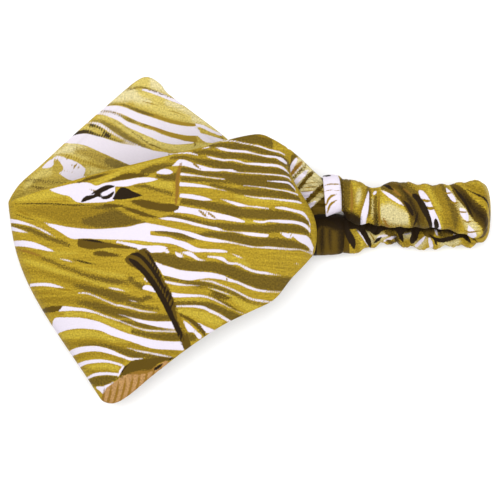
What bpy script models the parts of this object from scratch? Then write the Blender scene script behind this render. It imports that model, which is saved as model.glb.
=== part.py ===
"""Wide cloth headband, lying on its side as a flattened loop.

A wide printed panel is folded over at the centre front. Its far half lies on the surface with one soft ear, and its
near half domes over it. Each end of the panel is gathered into the cuff of a gathered cloth casing, which runs on as
two strands one above the other, joined by a turn.

Lengths in the tables are millimetres. +X runs from the centre front to the back of the head, +Y towards the crown edge
of the panel, +Z up. The origin is on the surface, under the middle of the headband.
"""

import math
from collections import namedtuple

import bmesh
import bpy
import numpy as np

MM = 0.001

# Driving dimensions
CLOTH = 1.2
CASING_WALL = 1.2
PLEATS = 5.0
RUFFLE_SPACING = 8.5
RUFFLE_LEAN = 2.0
RING_SQUARENESS = 2.4

PANEL_COLOUR = (0.45, 0.36, 0.07)
CASING_COLOUR = (0.36, 0.28, 0.05)
CLOTH_ROUGHNESS = 0.65

# How finely each piece is divided, and how near the casing's two long edges meet
PANEL_ALONG = 54
PANEL_ACROSS = 26
CASING_ALONG = 80
CASING_ROUND = 18
MEET = 0.01

# The panel's sections, from its gathered far end round the centre front to its gathered near end. Each runs from the
# crown edge to the face edge. swell moves its middle, skew moves its two quarters opposite ways, pleat is the height
# of its gathers.
PanelRow = namedtuple(
    "PanelRow",
    "name crown_x crown_y crown_z face_x face_y face_z swell_x swell_z skew_x pleat",
)
PANEL = [
    PanelRow("far end", 41.0, 9.5, 5.8, 41.0, -4.5, 5.8, 0, 0, 0, 1.6),
    PanelRow("far cuff", 35.5, 10.0, 5.6, 35.5, -5.0, 5.4, 0, 0, 0, 1.7),
    PanelRow("far neck", 30.5, 11.0, 4.6, 30.0, -6.5, 4.4, 0, 0, 0, 1.7),
    PanelRow("far throat", 24.0, 15.0, 3.2, 22.5, -10.0, 3.0, 0, 0, 0, 1.3),
    PanelRow("far gathers", 12.0, 26.0, 1.6, 9.5, -19.5, 1.5, 0, 0, 0, 0.6),
    PanelRow("far flat end", -1.0, 41.0, 0.8, -5.0, -31.0, 0.7, 0, 0, 0, 0),
    PanelRow("far flat", -13.0, 54.0, 0.6, -20.0, -43.5, 0.6, 0, 0, 0, 0),
    PanelRow("far flat", -31.0, 68.0, 0.6, -34.0, -54.5, 0.6, 0, 0, 0, 0),
    PanelRow("ear back", -43.5, 77.5, 1.4, -44.0, -62.0, 0.6, 0, 0, 0, 0),
    PanelRow("ear step", -47.0, 82.0, 2.2, -47.5, -65.0, 0.6, 0, 0, 0, 0),
    PanelRow("ear tip", -53.0, 85.5, 2.8, -52.0, -68.5, 0.6, -1.0, 0, 0, 0),
    PanelRow("ear front", -59.0, 84.0, 2.2, -57.0, -72.0, 0.6, -2.0, 0, 0, 0),
    PanelRow("far front", -72.5, 73.0, 1.0, -63.0, -76.0, 0.7, -4.0, 0, 0, 0),
    PanelRow("far front", -91.5, 56.0, 0.8, -68.0, -79.5, 0.8, -6.5, 0, 0, 0),
    PanelRow("far front", -109.5, 39.0, 1.2, -72.5, -81.5, 1.2, -8.0, 0, -1.0, 0),
    PanelRow("under fold", -121.0, 28.0, 3.0, -76.0, -81.5, 2.6, -9.0, -0.4, -1.2, 0),
    PanelRow("fold", -125.5, 19.0, 7.0, -78.5, -79.5, 6.6, -9.2, 0, -1.2, 0),
    PanelRow("over fold", -122.0, 19.5, 11.4, -77.0, -82.5, 10.4, -9.0, 1.2, -1.2, 0),
    PanelRow("near front", -114.0, 22.0, 13.8, -74.5, -85.0, 12.4, -8.0, 3.2, -1.0, 0),
    PanelRow("near front", -103.5, 25.0, 15.6, -69.5, -85.5, 13.8, -6.5, 6.2, -0.6, 0),
    PanelRow("near front", -82.5, 31.0, 18.6, -62.0, -81.5, 15.8, -5.0, 10.4, 0, 0),
    PanelRow("near side", -59.0, 36.5, 22.0, -48.5, -70.5, 18.2, -2.5, 14.0, 0, 0),
    PanelRow("near side", -38.0, 41.5, 25.0, -30.5, -57.0, 20.4, 0, 16.4, 0, 0),
    PanelRow("near side", -19.0, 45.8, 27.5, -13.0, -45.5, 22.0, 0, 17.6, 0, 0),
    PanelRow("near crest", -4.5, 49.4, 29.4, 1.5, -38.5, 22.8, 0, 17.6, 0, 0),
    PanelRow("near crest", 5.5, 50.8, 30.2, 13.0, -32.5, 22.8, 0, 16.2, 0, 0),
    PanelRow("near shoulder", 12.5, 48.2, 29.8, 21.5, -22.0, 21.8, 0.4, 12.8, -0.8, 0),
    PanelRow("rim above", 17.0, 45.6, 29.0, 29.0, -14.0, 20.0, 1.0, 8.8, -2.2, 0),
    PanelRow("rim", 19.0, 44.5, 28.0, 33.5, -8.0, 17.0, 1.4, 4.4, -3.0, 0),
    PanelRow("rim below", 20.0, 43.5, 27.2, 32.5, -4.0, 14.4, 1.2, 0.6, -2.8, 0),
    PanelRow("tuck", 21.5, 43.0, 26.0, 29.0, -1.0, 13.2, -0.4, -1.6, -2.0, 0.3),
    PanelRow("tuck back", 23.0, 42.0, 25.0, 27.0, 3.5, 13.6, -0.8, -2.2, -1.0, 0.6),
    PanelRow("near neck", 28.0, 38.0, 23.4, 30.0, 9.5, 15.4, 0, -1.0, 0, 0.8),
    PanelRow("near throat", 33.5, 33.0, 21.2, 35.0, 12.0, 17.4, 0, 0, 0, 1.2),
    PanelRow("near cuff", 38.5, 29.4, 19.6, 39.5, 12.2, 18.8, 0, 0, 0, 1.5),
    PanelRow("near end", 45.0, 28.4, 19.3, 45.0, 14.0, 19.3, 0, 0, 0, 1.6),
]

# The casing's rings, from the near cuff round the turn to the far cuff: the ring's middle, its width across the
# strand, its thickness, how far its crown side runs ahead of its face side, and the height of its ruffles.
CasingRow = namedtuple("CasingRow", "name x y z wide thick lean ruffle")
CASING = [
    CasingRow("near cuff", 39.5, 20.7, 19.2, 21.4, 13.4, -1.6, 0),
    CasingRow("collar", 43.5, 21.8, 19.3, 20.4, 12.8, -1.2, 0),
    CasingRow("collar", 46.8, 21.9, 19.2, 18.8, 11.8, -0.6, 0),
    CasingRow("collar seam", 48.6, 21.0, 19.2, 17.4, 10.4, 0, 0),
    CasingRow("first puff", 51.0, 19.0, 19.2, 21.0, 13.0, 0, 0.1),
    CasingRow("first puff", 55.0, 17.5, 19.2, 23.0, 13.6, 0, 0.2),
    CasingRow("first puff", 59.5, 16.5, 19.1, 21.0, 12.0, 0, 0.3),
    CasingRow("waist", 63.5, 15.8, 19.0, 19.2, 10.4, 0, 0.3),
    CasingRow("waist", 67.3, 15.2, 19.0, 20.2, 10.6, 0, 0.3),
    CasingRow("near strand", 71.0, 16.0, 19.5, 23.0, 12.8, 0, 0.3),
    CasingRow("near strand", 79.0, 16.2, 19.7, 23.8, 13.0, 0, 0.4),
    CasingRow("near strand", 89.0, 15.5, 19.6, 22.8, 12.4, 0, 0.4),
    CasingRow("near strand", 99.0, 15.2, 19.5, 23.0, 12.2, 0, 0.4),
    CasingRow("near strand", 104.5, 14.8, 19.4, 24.4, 12.2, 0, 0.4),
    CasingRow("turn", 111.0, 14.4, 19.2, 27.4, 12.0, 0, 0.4),
    CasingRow("turn", 117.0, 14.1, 18.0, 29.8, 11.8, 0, 0.5),
    CasingRow("turn", 120.6, 13.6, 12.5, 30.2, 11.6, 0, 0.6),
    CasingRow("turn", 117.0, 10.6, 7.2, 29.4, 11.6, 0, 0.8),
    CasingRow("turn", 111.0, 8.6, 5.8, 25.8, 11.6, 0, 0.9),
    CasingRow("far strand", 104.5, 7.6, 5.8, 23.4, 11.6, 0, 0.9),
    CasingRow("far strand", 92.0, 6.4, 5.8, 24.2, 11.6, 0, 0.9),
    CasingRow("far strand", 80.0, 7.5, 5.8, 22.6, 11.6, 0, 0.9),
    CasingRow("far waist", 73.5, 8.4, 5.6, 21.6, 11.0, 0, 0.8),
    CasingRow("far strand", 67.0, 7.2, 5.8, 22.2, 11.6, 0, 0.7),
    CasingRow("far puff", 60.8, 5.8, 5.8, 22.6, 11.6, 0, 0.6),
    CasingRow("far puff", 54.5, 3.6, 5.8, 23.2, 11.6, 0, 0.3),
    CasingRow("far seam", 49.2, 2.6, 5.4, 20.2, 10.4, 0, 0),
    CasingRow("far collar", 47.0, 2.4, 5.8, 21.2, 11.2, 0, 0),
    CasingRow("far collar", 41.0, 2.4, 5.8, 22.2, 11.6, 0, 0),
    CasingRow("far cuff", 33.5, 2.4, 5.8, 22.4, 11.6, 0, 0),
]


def clear_scene():
    for obj in list(bpy.data.objects):
        bpy.data.objects.remove(obj, do_unlink=True)


def knots_of(points):
    """Knot of each row: the running sum of the square roots of the steps between rows, scaled to end at 1."""
    steps = np.sqrt(np.linalg.norm(np.diff(points, axis=0), axis=1))
    knots = np.concatenate([[0.0], np.cumsum(steps)])
    return knots / knots[-1]


def smooth_at(values, knots, share):
    """The rows' values at a share of the way along, on a cubic through every row."""
    last = len(knots) - 1
    i = int(np.clip(np.searchsorted(knots, share) - 1, 0, last - 1))
    span = knots[i + 1] - knots[i]
    t = (share - knots[i]) / span
    before, after = max(i - 1, 0), min(i + 2, last)
    leave = (values[i + 1] - values[before]) / (knots[i + 1] - knots[before])
    reach = (values[after] - values[i]) / (knots[after] - knots[i])
    return (
        (2 * t**3 - 3 * t**2 + 1) * values[i]
        + (t**3 - 2 * t**2 + t) * span * leave
        + (3 * t**2 - 2 * t**3) * values[i + 1]
        + (t**3 - t**2) * span * reach
    )


def numbers_of(rows):
    """A table's rows without their names."""
    return np.array([row[1:] for row in rows], float)


def panel_point(values, knots, along, across):
    """Where the middle of the panel's cloth is, in mm, no lower than where it lies on the surface.

    along runs from the far end to the near end, across from the crown edge to the face edge.
    """
    row = PanelRow("", *smooth_at(values, knots, along))
    crown = np.array([row.crown_x, row.crown_y, row.crown_z])
    face = np.array([row.face_x, row.face_y, row.face_z])
    point = crown + (face - crown) * across
    middle = math.sin(math.pi * across)
    quarters = math.sin(2 * math.pi * across)
    point[0] += row.swell_x * middle + row.skew_x * quarters
    point[2] += row.swell_z * middle
    point[2] += row.pleat * math.cos(2 * math.pi * PLEATS * across)
    point[2] = max(point[2], CLOTH / 2)
    return point


def casing_frames(count):
    """The casing's rings: their rows, the directions along and out of the strand, and the way travelled to each."""
    values = numbers_of(CASING)
    knots = knots_of(values[:, :3])
    shares = np.linspace(0, 1, count)
    rows = np.array([smooth_at(values, knots, share) for share in shares])
    along = np.gradient(rows[:, :3], axis=0)
    along[:, 1] = 0
    along /= np.linalg.norm(along, axis=1)[:, None]
    out = np.cross([0, 1, 0], along)
    steps = np.linalg.norm(np.diff(rows[:, :3], axis=0), axis=1)
    travelled = np.concatenate([[0.0], np.cumsum(steps)])
    return rows, along, out, travelled


def casing_point(frames, ring, turn):
    """Where the outside of the casing is, in mm, on a ring and at a share of the turn round it."""
    rows, along, out, travelled = frames
    row = CasingRow("", *rows[ring])
    angle = 2 * math.pi * turn
    power = 2 / RING_SQUARENESS
    side = math.copysign(abs(math.cos(angle)) ** power, math.cos(angle))
    rise = math.copysign(abs(math.sin(angle)) ** power, math.sin(angle))
    phase = 2 * math.pi * travelled[ring] / RUFFLE_SPACING
    ruffle = row.ruffle * math.sin(phase + RUFFLE_LEAN * math.sin(angle))
    half_wide = row.wide / 2 + ruffle
    half_thick = row.thick / 2 + ruffle
    middle = np.array([row.x, row.y, row.z])
    point = middle + np.array([0, 1, 0]) * side * half_wide + out[ring] * rise * half_thick
    point += along[ring] * row.lean * side / 2
    point[2] = max(point[2], 0)
    return point


def cloth_material(name, colour):
    made = bpy.data.materials.new(name)
    made.use_nodes = True
    shader = made.node_tree.nodes["Principled BSDF"]
    shader.inputs["Base Color"].default_value = (*colour, 1)
    shader.inputs["Roughness"].default_value = CLOTH_ROUGHNESS
    shader.inputs["Metallic"].default_value = 0
    return made


def cloth_grid(name, along, across, place):
    """A flat grid whose corners are carried to place(along, across), both from 0 to 1."""
    work = bmesh.new()
    bmesh.ops.create_grid(work, x_segments=along, y_segments=across, size=0.5)
    for vert in work.verts:
        vert.co = place(vert.co.x + 0.5, vert.co.y + 0.5) * MM
    bmesh.ops.remove_doubles(work, verts=work.verts, dist=MEET * MM)
    mesh = bpy.data.meshes.new(name)
    work.to_mesh(mesh)
    work.free()
    mesh.shade_smooth()
    return bpy.data.objects.new(name, mesh)


def thicken(obj, wall, side):
    """A wall on both sides of the surface where side is 0, or all inside it where side is -1."""
    solid = obj.modifiers.new("wall", "SOLIDIFY")
    solid.thickness = wall * MM
    solid.offset = side
    solid.use_even_offset = False


def front_panel():
    values = numbers_of(PANEL)
    knots = knots_of(values[:, :6])
    obj = cloth_grid(
        "front_panel",
        PANEL_ALONG,
        PANEL_ACROSS,
        lambda along, across: panel_point(values, knots, along, across),
    )
    thicken(obj, CLOTH, 0)
    obj.data.materials.append(cloth_material("printed_cloth", PANEL_COLOUR))
    return obj


def elastic_casing():
    frames = casing_frames(CASING_ALONG + 1)
    obj = cloth_grid(
        "elastic_casing",
        CASING_ALONG,
        CASING_ROUND,
        lambda along, turn: casing_point(frames, round(along * CASING_ALONG), turn),
    )
    thicken(obj, CASING_WALL, -1)
    obj.data.materials.append(cloth_material("casing_cloth", CASING_COLOUR))
    return obj


def main():
    clear_scene()
    headband = bpy.data.collections.new("wide_headband")
    bpy.context.scene.collection.children.link(headband)
    for piece in (front_panel(), elastic_casing()):
        headband.objects.link(piece)


main()
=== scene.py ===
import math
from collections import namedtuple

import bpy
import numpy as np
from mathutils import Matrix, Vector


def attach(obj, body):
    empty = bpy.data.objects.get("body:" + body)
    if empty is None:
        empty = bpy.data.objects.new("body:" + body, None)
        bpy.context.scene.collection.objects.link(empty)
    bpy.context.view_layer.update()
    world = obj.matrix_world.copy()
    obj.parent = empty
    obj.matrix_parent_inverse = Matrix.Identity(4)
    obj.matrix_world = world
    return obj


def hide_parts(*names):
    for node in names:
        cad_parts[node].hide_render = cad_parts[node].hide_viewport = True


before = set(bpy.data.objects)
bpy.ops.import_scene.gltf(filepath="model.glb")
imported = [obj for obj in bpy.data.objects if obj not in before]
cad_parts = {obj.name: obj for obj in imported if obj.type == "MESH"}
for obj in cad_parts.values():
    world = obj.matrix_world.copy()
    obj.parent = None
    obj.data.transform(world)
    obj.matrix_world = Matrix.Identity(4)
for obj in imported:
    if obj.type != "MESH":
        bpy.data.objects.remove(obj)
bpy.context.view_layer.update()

# Wide cloth headband, lying on its side as a flattened loop: a printed satin panel folded over at
# the centre front, whose two gathered ends are sewn into the cuffs of a gathered casing. Lengths are
# millimetres until a mesh is made. +X runs from the centre front to the back of the head, +Y towards
# the panel's crown edge, +Z up.

MM = 0.001
TINY = 1e-9

# The lowest that the middle of the panel's cloth lies, and the lowest of any cloth's surface
RESTS_AT = 0.6
FLOOR_GAP = 0.02

# The panel's cloth: its thickness, and the turned hem, whose width is HEM_MOST of a row at most.
# HEM_EXTRA is what the hem adds on the wrong side, HEM_SHOWS on the printed side.
CLOTH = 0.9
HEM_WIDE = 6.0
HEM_MOST = 0.12
HEM_EXTRA = 0.45
HEM_SHOWS = 0.12
HEM_STEP = 1.2

# Gathers at the panel's ends: large and fine ones across a row, the fine ones' share of the height,
# how far they drift for each mm along, and the power that sharpens their valleys
PLEATS = 5.0
FINE_PLEATS = 13.0
FINE_SHARE = 0.2
FINE_DRIFT = 0.05
PLEAT_SHARPNESS = 0.8

# The share of the way after the fold over which the cloth's slack grows to its full height
SLACK_GROWS = 0.12

# How finely the panel is divided: its rows, the spacing that they would have on each stretch, the
# shares over which one spacing turns into the next, the cells across a hem and between the hems on
# the outer and the inner side, and the points round an edge
PANEL_ROWS = 318
NEAR_SPACING = 1.15
EAR_SPACING = 1.3
FAR_SPACING = 5.0
FOLD_BLEND = 0.08
GATHERS_BLEND = 0.06
SHARES_TRIED = 4000
HEM_CELLS = 8
OUTER_CELLS = 160
INNER_CELLS = 104
RIM_POINTS = 3

# The casing's cloth, how finely it is divided, and the way once round its flat cloth
CASING_WALL = 1.2
RING_SQUARENESS = 2.4
RUFFLE_SPACING = 8.5
RUFFLE_LEAN = 2.0
CASING_RINGS = 520
CASING_INNER_RINGS = 130
CASING_ROUND = 120
FLAT_ROUND = 62.0

# Stitches: their pitch and length, the thread's radius, how far their ends dip, how far they stand
# off the cloth and clear of the floor, how far ahead their direction is read, and the rings that each
# is made of: their sides, their places from end to end, and their sizes
STITCH_PITCH = 2.6
STITCH_LONG = 1.7
THREAD = 0.13
STITCH_BOW = 0.22
STITCH_LIFT = 0.05
STITCH_CLEAR = 0.06
STITCH_AHEAD = 0.3
STITCH_SIDES = 6
STITCH_SHARES = (-1.0, -0.6, 0.0, 0.6, 1.0)
STITCH_SIZES = (0.45, 0.9, 1.0, 0.9, 0.45)

# The panel's sections, from its gathered far end round the centre front to its gathered near end.
# Each runs from the crown edge to the face edge. swell moves its middle, skew moves its two quarters
# opposite ways, pleat is the height of its gathers.
PanelRow = namedtuple(
    "PanelRow",
    "name crown_x crown_y crown_z face_x face_y face_z swell_x swell_z skew_x pleat",
)
PANEL = [
    PanelRow("far end", 41.0, 9.5, 5.8, 41.0, -4.5, 5.8, 0, 0, 0, 1.6),
    PanelRow("far cuff", 35.5, 10.0, 5.6, 35.5, -5.0, 5.4, 0, 0, 0, 1.7),
    PanelRow("far neck", 30.5, 11.0, 4.6, 30.0, -6.5, 4.4, 0, 0, 0, 1.7),
    PanelRow("far throat", 24.0, 15.0, 3.2, 22.5, -10.0, 3.0, 0, 0, 0, 1.3),
    PanelRow("far gathers", 12.0, 26.0, 1.6, 9.5, -19.5, 1.5, 0, 0, 0, 0.6),
    PanelRow("far flat end", -1.0, 41.0, 0.8, -5.0, -31.0, 0.7, 0, 0, 0, 0),
    PanelRow("far flat", -13.0, 54.0, 0.6, -20.0, -43.5, 0.6, 0, 0, 0, 0),
    PanelRow("far flat", -31.0, 68.0, 0.6, -34.0, -54.5, 0.6, 0, 0, 0, 0),
    PanelRow("ear back", -43.5, 77.5, 1.4, -44.0, -62.0, 0.6, 0, 0, 0, 0),
    PanelRow("ear step", -47.0, 82.0, 2.2, -47.5, -65.0, 0.6, 0, 0, 0, 0),
    PanelRow("ear tip", -53.0, 85.5, 2.8, -52.0, -68.5, 0.6, -1.0, 0, 0, 0),
    PanelRow("ear front", -59.0, 84.0, 2.2, -57.0, -72.0, 0.6, -2.0, 0, 0, 0),
    PanelRow("far front", -72.5, 73.0, 1.0, -63.0, -76.0, 0.7, -4.0, 0, 0, 0),
    PanelRow("far front", -91.5, 56.0, 0.8, -68.0, -79.5, 0.8, -6.5, 0, 0, 0),
    PanelRow("far front", -109.5, 39.0, 1.2, -72.5, -81.5, 1.2, -8.0, 0, -1.0, 0),
    PanelRow("under fold", -121.0, 28.0, 3.0, -76.0, -81.5, 2.6, -9.0, -0.4, -1.2, 0),
    PanelRow("fold", -125.5, 19.0, 7.0, -78.5, -79.5, 6.6, -9.2, 0, -1.2, 0),
    PanelRow("over fold", -122.0, 19.5, 11.4, -77.0, -82.5, 10.4, -9.0, 1.2, -1.2, 0),
    PanelRow("near front", -114.0, 22.0, 13.8, -74.5, -85.0, 12.4, -8.0, 3.2, -1.0, 0),
    PanelRow("near front", -103.5, 25.0, 15.6, -69.5, -85.5, 13.8, -6.5, 6.2, -0.6, 0),
    PanelRow("near front", -82.5, 31.0, 18.6, -62.0, -81.5, 15.8, -5.0, 10.4, 0, 0),
    PanelRow("near side", -59.0, 36.5, 22.0, -48.5, -70.5, 18.2, -2.5, 14.0, 0, 0),
    PanelRow("near side", -38.0, 41.5, 25.0, -30.5, -57.0, 20.4, 0, 16.4, 0, 0),
    PanelRow("near side", -19.0, 45.8, 27.5, -13.0, -45.5, 22.0, 0, 17.6, 0, 0),
    PanelRow("near crest", -4.5, 49.4, 29.4, 1.5, -38.5, 22.8, 0, 17.6, 0, 0),
    PanelRow("near crest", 5.5, 50.8, 30.2, 13.0, -32.5, 22.8, 0, 16.2, 0, 0),
    PanelRow("near shoulder", 12.5, 48.2, 29.8, 21.5, -22.0, 21.8, 0.4, 12.8, -0.8, 0),
    PanelRow("rim above", 17.0, 45.6, 29.0, 29.0, -14.0, 20.0, 1.0, 8.8, -2.2, 0),
    PanelRow("rim", 19.0, 44.5, 28.0, 33.5, -8.0, 17.0, 1.4, 4.4, -3.0, 0),
    PanelRow("rim below", 20.0, 43.5, 27.2, 32.5, -4.0, 14.4, 1.2, 0.6, -2.8, 0),
    PanelRow("tuck", 21.5, 43.0, 26.0, 29.0, -1.0, 13.2, -0.4, -1.6, -2.0, 0.3),
    PanelRow("tuck back", 23.0, 42.0, 25.0, 27.0, 3.5, 13.6, -0.8, -2.2, -1.0, 0.6),
    PanelRow("near neck", 28.0, 38.0, 23.4, 30.0, 9.5, 15.4, 0, -1.0, 0, 0.8),
    PanelRow("near throat", 33.5, 33.0, 21.2, 35.0, 12.0, 17.4, 0, 0, 0, 1.2),
    PanelRow("near cuff", 38.5, 29.4, 19.6, 39.5, 12.2, 18.8, 0, 0, 0, 1.5),
    PanelRow("near end", 45.0, 28.4, 19.3, 45.0, 14.0, 19.3, 0, 0, 0, 1.6),
]

# The casing's rings, from the near cuff round the turn to the far cuff: the ring's middle, its width
# across the strand, its thickness, how far its crown side runs ahead of its face side, the height of
# its ruffles, and the depth of the sharp creases between its gathers.
CasingRow = namedtuple("CasingRow", "name x y z wide thick lean ruffle crease")
CASING = [
    CasingRow("near cuff", 39.5, 20.7, 19.2, 21.4, 13.4, -1.6, 0, 0.15),
    CasingRow("collar", 43.5, 21.8, 19.3, 20.4, 12.8, -1.2, 0, 0.2),
    CasingRow("collar", 46.8, 21.9, 19.2, 18.8, 11.8, -0.6, 0, 0.3),
    CasingRow("collar seam", 48.6, 21.0, 19.2, 17.4, 10.4, 0, 0, 0.9),
    CasingRow("first puff", 51.0, 19.0, 19.2, 21.0, 13.0, 0, 0.1, 0.9),
    CasingRow("first puff", 55.0, 17.5, 19.2, 23.0, 13.6, 0, 0.2, 0.6),
    CasingRow("first puff", 59.5, 16.5, 19.1, 21.0, 12.0, 0, 0.3, 0.9),
    CasingRow("waist", 63.5, 15.8, 19.0, 19.2, 10.4, 0, 0.3, 1.5),
    CasingRow("waist", 67.3, 15.2, 19.0, 20.2, 10.6, 0, 0.3, 1.5),
    CasingRow("near strand", 71.0, 16.0, 19.5, 23.0, 12.8, 0, 0.3, 0.9),
    CasingRow("near strand", 79.0, 16.2, 19.7, 23.8, 13.0, 0, 0.4, 0.7),
    CasingRow("near strand", 89.0, 15.5, 19.6, 22.8, 12.4, 0, 0.4, 0.9),
    CasingRow("near strand", 99.0, 15.2, 19.5, 23.0, 12.2, 0, 0.4, 0.8),
    CasingRow("near strand", 104.5, 14.8, 19.4, 24.4, 12.2, 0, 0.4, 0.8),
    CasingRow("turn", 111.0, 14.4, 19.2, 27.4, 12.0, 0, 0.4, 0.8),
    CasingRow("turn", 117.0, 14.1, 18.0, 29.8, 11.8, 0, 0.5, 0.8),
    CasingRow("turn", 120.6, 13.6, 12.5, 30.2, 11.6, 0, 0.6, 1.0),
    CasingRow("turn", 117.0, 10.6, 7.2, 29.4, 11.6, 0, 0.8, 1.2),
    CasingRow("turn", 111.0, 8.6, 5.8, 25.8, 11.6, 0, 0.9, 1.8),
    CasingRow("far strand", 104.5, 7.6, 5.8, 23.4, 11.6, 0, 0.9, 2.3),
    CasingRow("far strand", 92.0, 6.4, 5.8, 24.2, 11.6, 0, 0.9, 2.6),
    CasingRow("far strand", 80.0, 7.5, 5.8, 22.6, 11.6, 0, 0.9, 2.6),
    CasingRow("far waist", 73.5, 8.4, 5.6, 21.6, 11.0, 0, 0.8, 2.2),
    CasingRow("far strand", 67.0, 7.2, 5.8, 22.2, 11.6, 0, 0.7, 2.2),
    CasingRow("far puff", 60.8, 5.8, 5.8, 22.6, 11.6, 0, 0.6, 1.6),
    CasingRow("far puff", 54.5, 3.6, 5.8, 23.2, 11.6, 0, 0.3, 1.4),
    CasingRow("far seam", 49.2, 2.6, 5.4, 20.2, 10.4, 0, 0, 0.9),
    CasingRow("far collar", 47.0, 2.4, 5.8, 21.2, 11.2, 0, 0, 0.4),
    CasingRow("far collar", 41.0, 2.4, 5.8, 22.2, 11.6, 0, 0, 0.3),
    CasingRow("far cuff", 33.5, 2.4, 5.8, 22.4, 11.6, 0, 0, 0.2),
]

# Slow waves of slack in the panel: length and height, the way that they run as an angle from +X, and
# their phase
Wave = namedtuple("Wave", "length height heading phase")
SLACK = [
    Wave(58.0, 0.50, 12.0, 0.4),
    Wave(41.0, 0.34, -38.0, 1.9),
    Wave(27.0, 0.20, 71.0, 3.1),
    Wave(19.0, 0.12, -15.0, 0.8),
    Wave(13.0, 0.07, 40.0, 2.2),
]

# Creases in the casing: how far apart they lie, their share of the depth, how much each leans round
# the strand and from which side, and their phase
Crease = namedtuple("Crease", "apart share lean side phase")
CREASES = [
    Crease(7.4, 0.55, 0.42, 0.6, 0.1),
    Crease(4.6, 0.28, -0.55, 2.1, 0.45),
    Crease(2.9, 0.17, 0.70, 4.0, 0.8),
]

# How the creases wander from their places: by how many turns, in how many waves round a ring, and
# over how many mm along for each radian
Wander = namedtuple("Wander", "turns round_waves apart")
WANDERS = [Wander(0.16, 3, 9.0), Wander(0.1, 5, -5.0)]

# The power that narrows a crease, its middle depth, and what swings it from there: waves round the
# ring, its turns and its phase
CREASE_SHARPNESS = 2.2
SWING_MIDDLE = 0.6
SWING_ROUND = 2
SWING_ALONG = 2.3
SWING_PHASE = 6

# The print: palm leaflets, each a brush stroke in the plan of the headband at rest, in mm. A Band has
# two edges: its rows are x, top y and bottom y. A Leaf lies along a smooth path: wide is its greatest
# width, head and tail are the shares of its length over which it narrows to a point, three tenths
# where a row doesn't say. Each place on the cloth has its own strokes for each ink.
Band = namedtuple("Band", "edges")
Leaf = namedtuple("Leaf", "wide path head tail", defaults=(0.3, 0.3))

# The near half of the panel, whose printed side is up
NEAR = {}
NEAR["light"] = [
    Band([(-121, 20.4, 18.6), (-104, 24.6, 19.4), (-92, 26, 21)]),
    Band([(-72, 31.4, 28.3), (-66, 34.2, 32.6), (-59, 36, 33.9), (-53, 37.6, 35.8), (-47, 38.9, 37.3),
          (-39, 41.4, 40.1)]),
    Band([(-83.6, 26, 25), (-80.5, 27.8, 25.5), (-76.8, 29.4, 26.6), (-71.8, 31.4, 28.9),
          (-67, 32.8, 30.2)]),
    Band([(-94, 21.4, 19), (-91, 21.4, 17.4), (-88, 20, 17)]),
    Band([(-53, 26.8, 24.6), (-46, 27.6, 23.4), (-39.5, 27, 22)]),
    Band([(-7, 18.8, 17), (0, 17.4, 15.4), (8, 16.6, 15), (17, 15.6, 14.6), (25, 15.2, 14.4)]),
    Band([(-4, 5.9, 4.6), (0, 5.2, 3.6), (6, 4.6, 3.4)]),
    Band([(-76, -2.4, -3.2), (-68, -3.1, -3.9), (-58, -3.9, -5.4), (-50, -5, -6.6), (-43, -5.8, -6.6)]),
    Band([(-88, -16.4, -17), (-80, -18, -19.4), (-74, -19.6, -21.2), (-68, -20.6, -22.6),
          (-63, -21.6, -22.8)]),
    Band([(-117, -11.4, -12.6), (-109, -13.4, -16), (-103, -15.6, -18.4), (-93, -19.2, -21.4),
          (-84, -22, -23.8), (-78, -23.8, -26.4), (-73, -25, -27.6), (-66, -27.2, -29),
          (-61, -29, -30.2)]),
    Leaf(1.0, [(-109, -9.8), (-103, -11), (-97, -12.2), (-93.5, -12.8)], 0.3, 0.4),
    Leaf(1.4, [(-103, -8.4), (-96, -9.4), (-88, -9.4)], 0.3, 0.4),
    Leaf(1.2, [(-79, -7.2), (-74, -8.6), (-68, -8.9)], 0.3, 0.4),
    Band([(-95, -39.2, -42), (-84, -40, -42), (-76, -42.4, -44.4), (-66, -46.2, -48.4), (-56, -49.8, -52),
          (-46, -50.8, -53)]),
    Band([(-97, -50, -53), (-88, -48.6, -53), (-79, -49.4, -53.4), (-70, -52.6, -55.6),
          (-62, -55, -57.2)]),
    Band([(-86, -68, -70), (-80, -66.4, -69.6), (-73, -66.2, -69.4), (-67, -67.6, -69.4)]),
    Band([(-20, -26.4, -28.6), (-12, -30, -32), (-6, -32.8, -36), (0, -35.4, -39.6), (6, -36.4, -38)]),
    Band([(-36, -34, -35.6), (-28, -33.4, -35), (-20, -34.6, -36)]),
    Band([(-37, -38.8, -41), (-28, -39, -43), (-20, -41, -46), (-14, -44, -47)]),
    Band([(-20, -11, -12.2), (-13, -11.6, -13), (-6, -13.6, -16), (0, -16.4, -17.8)]),
]
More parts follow.
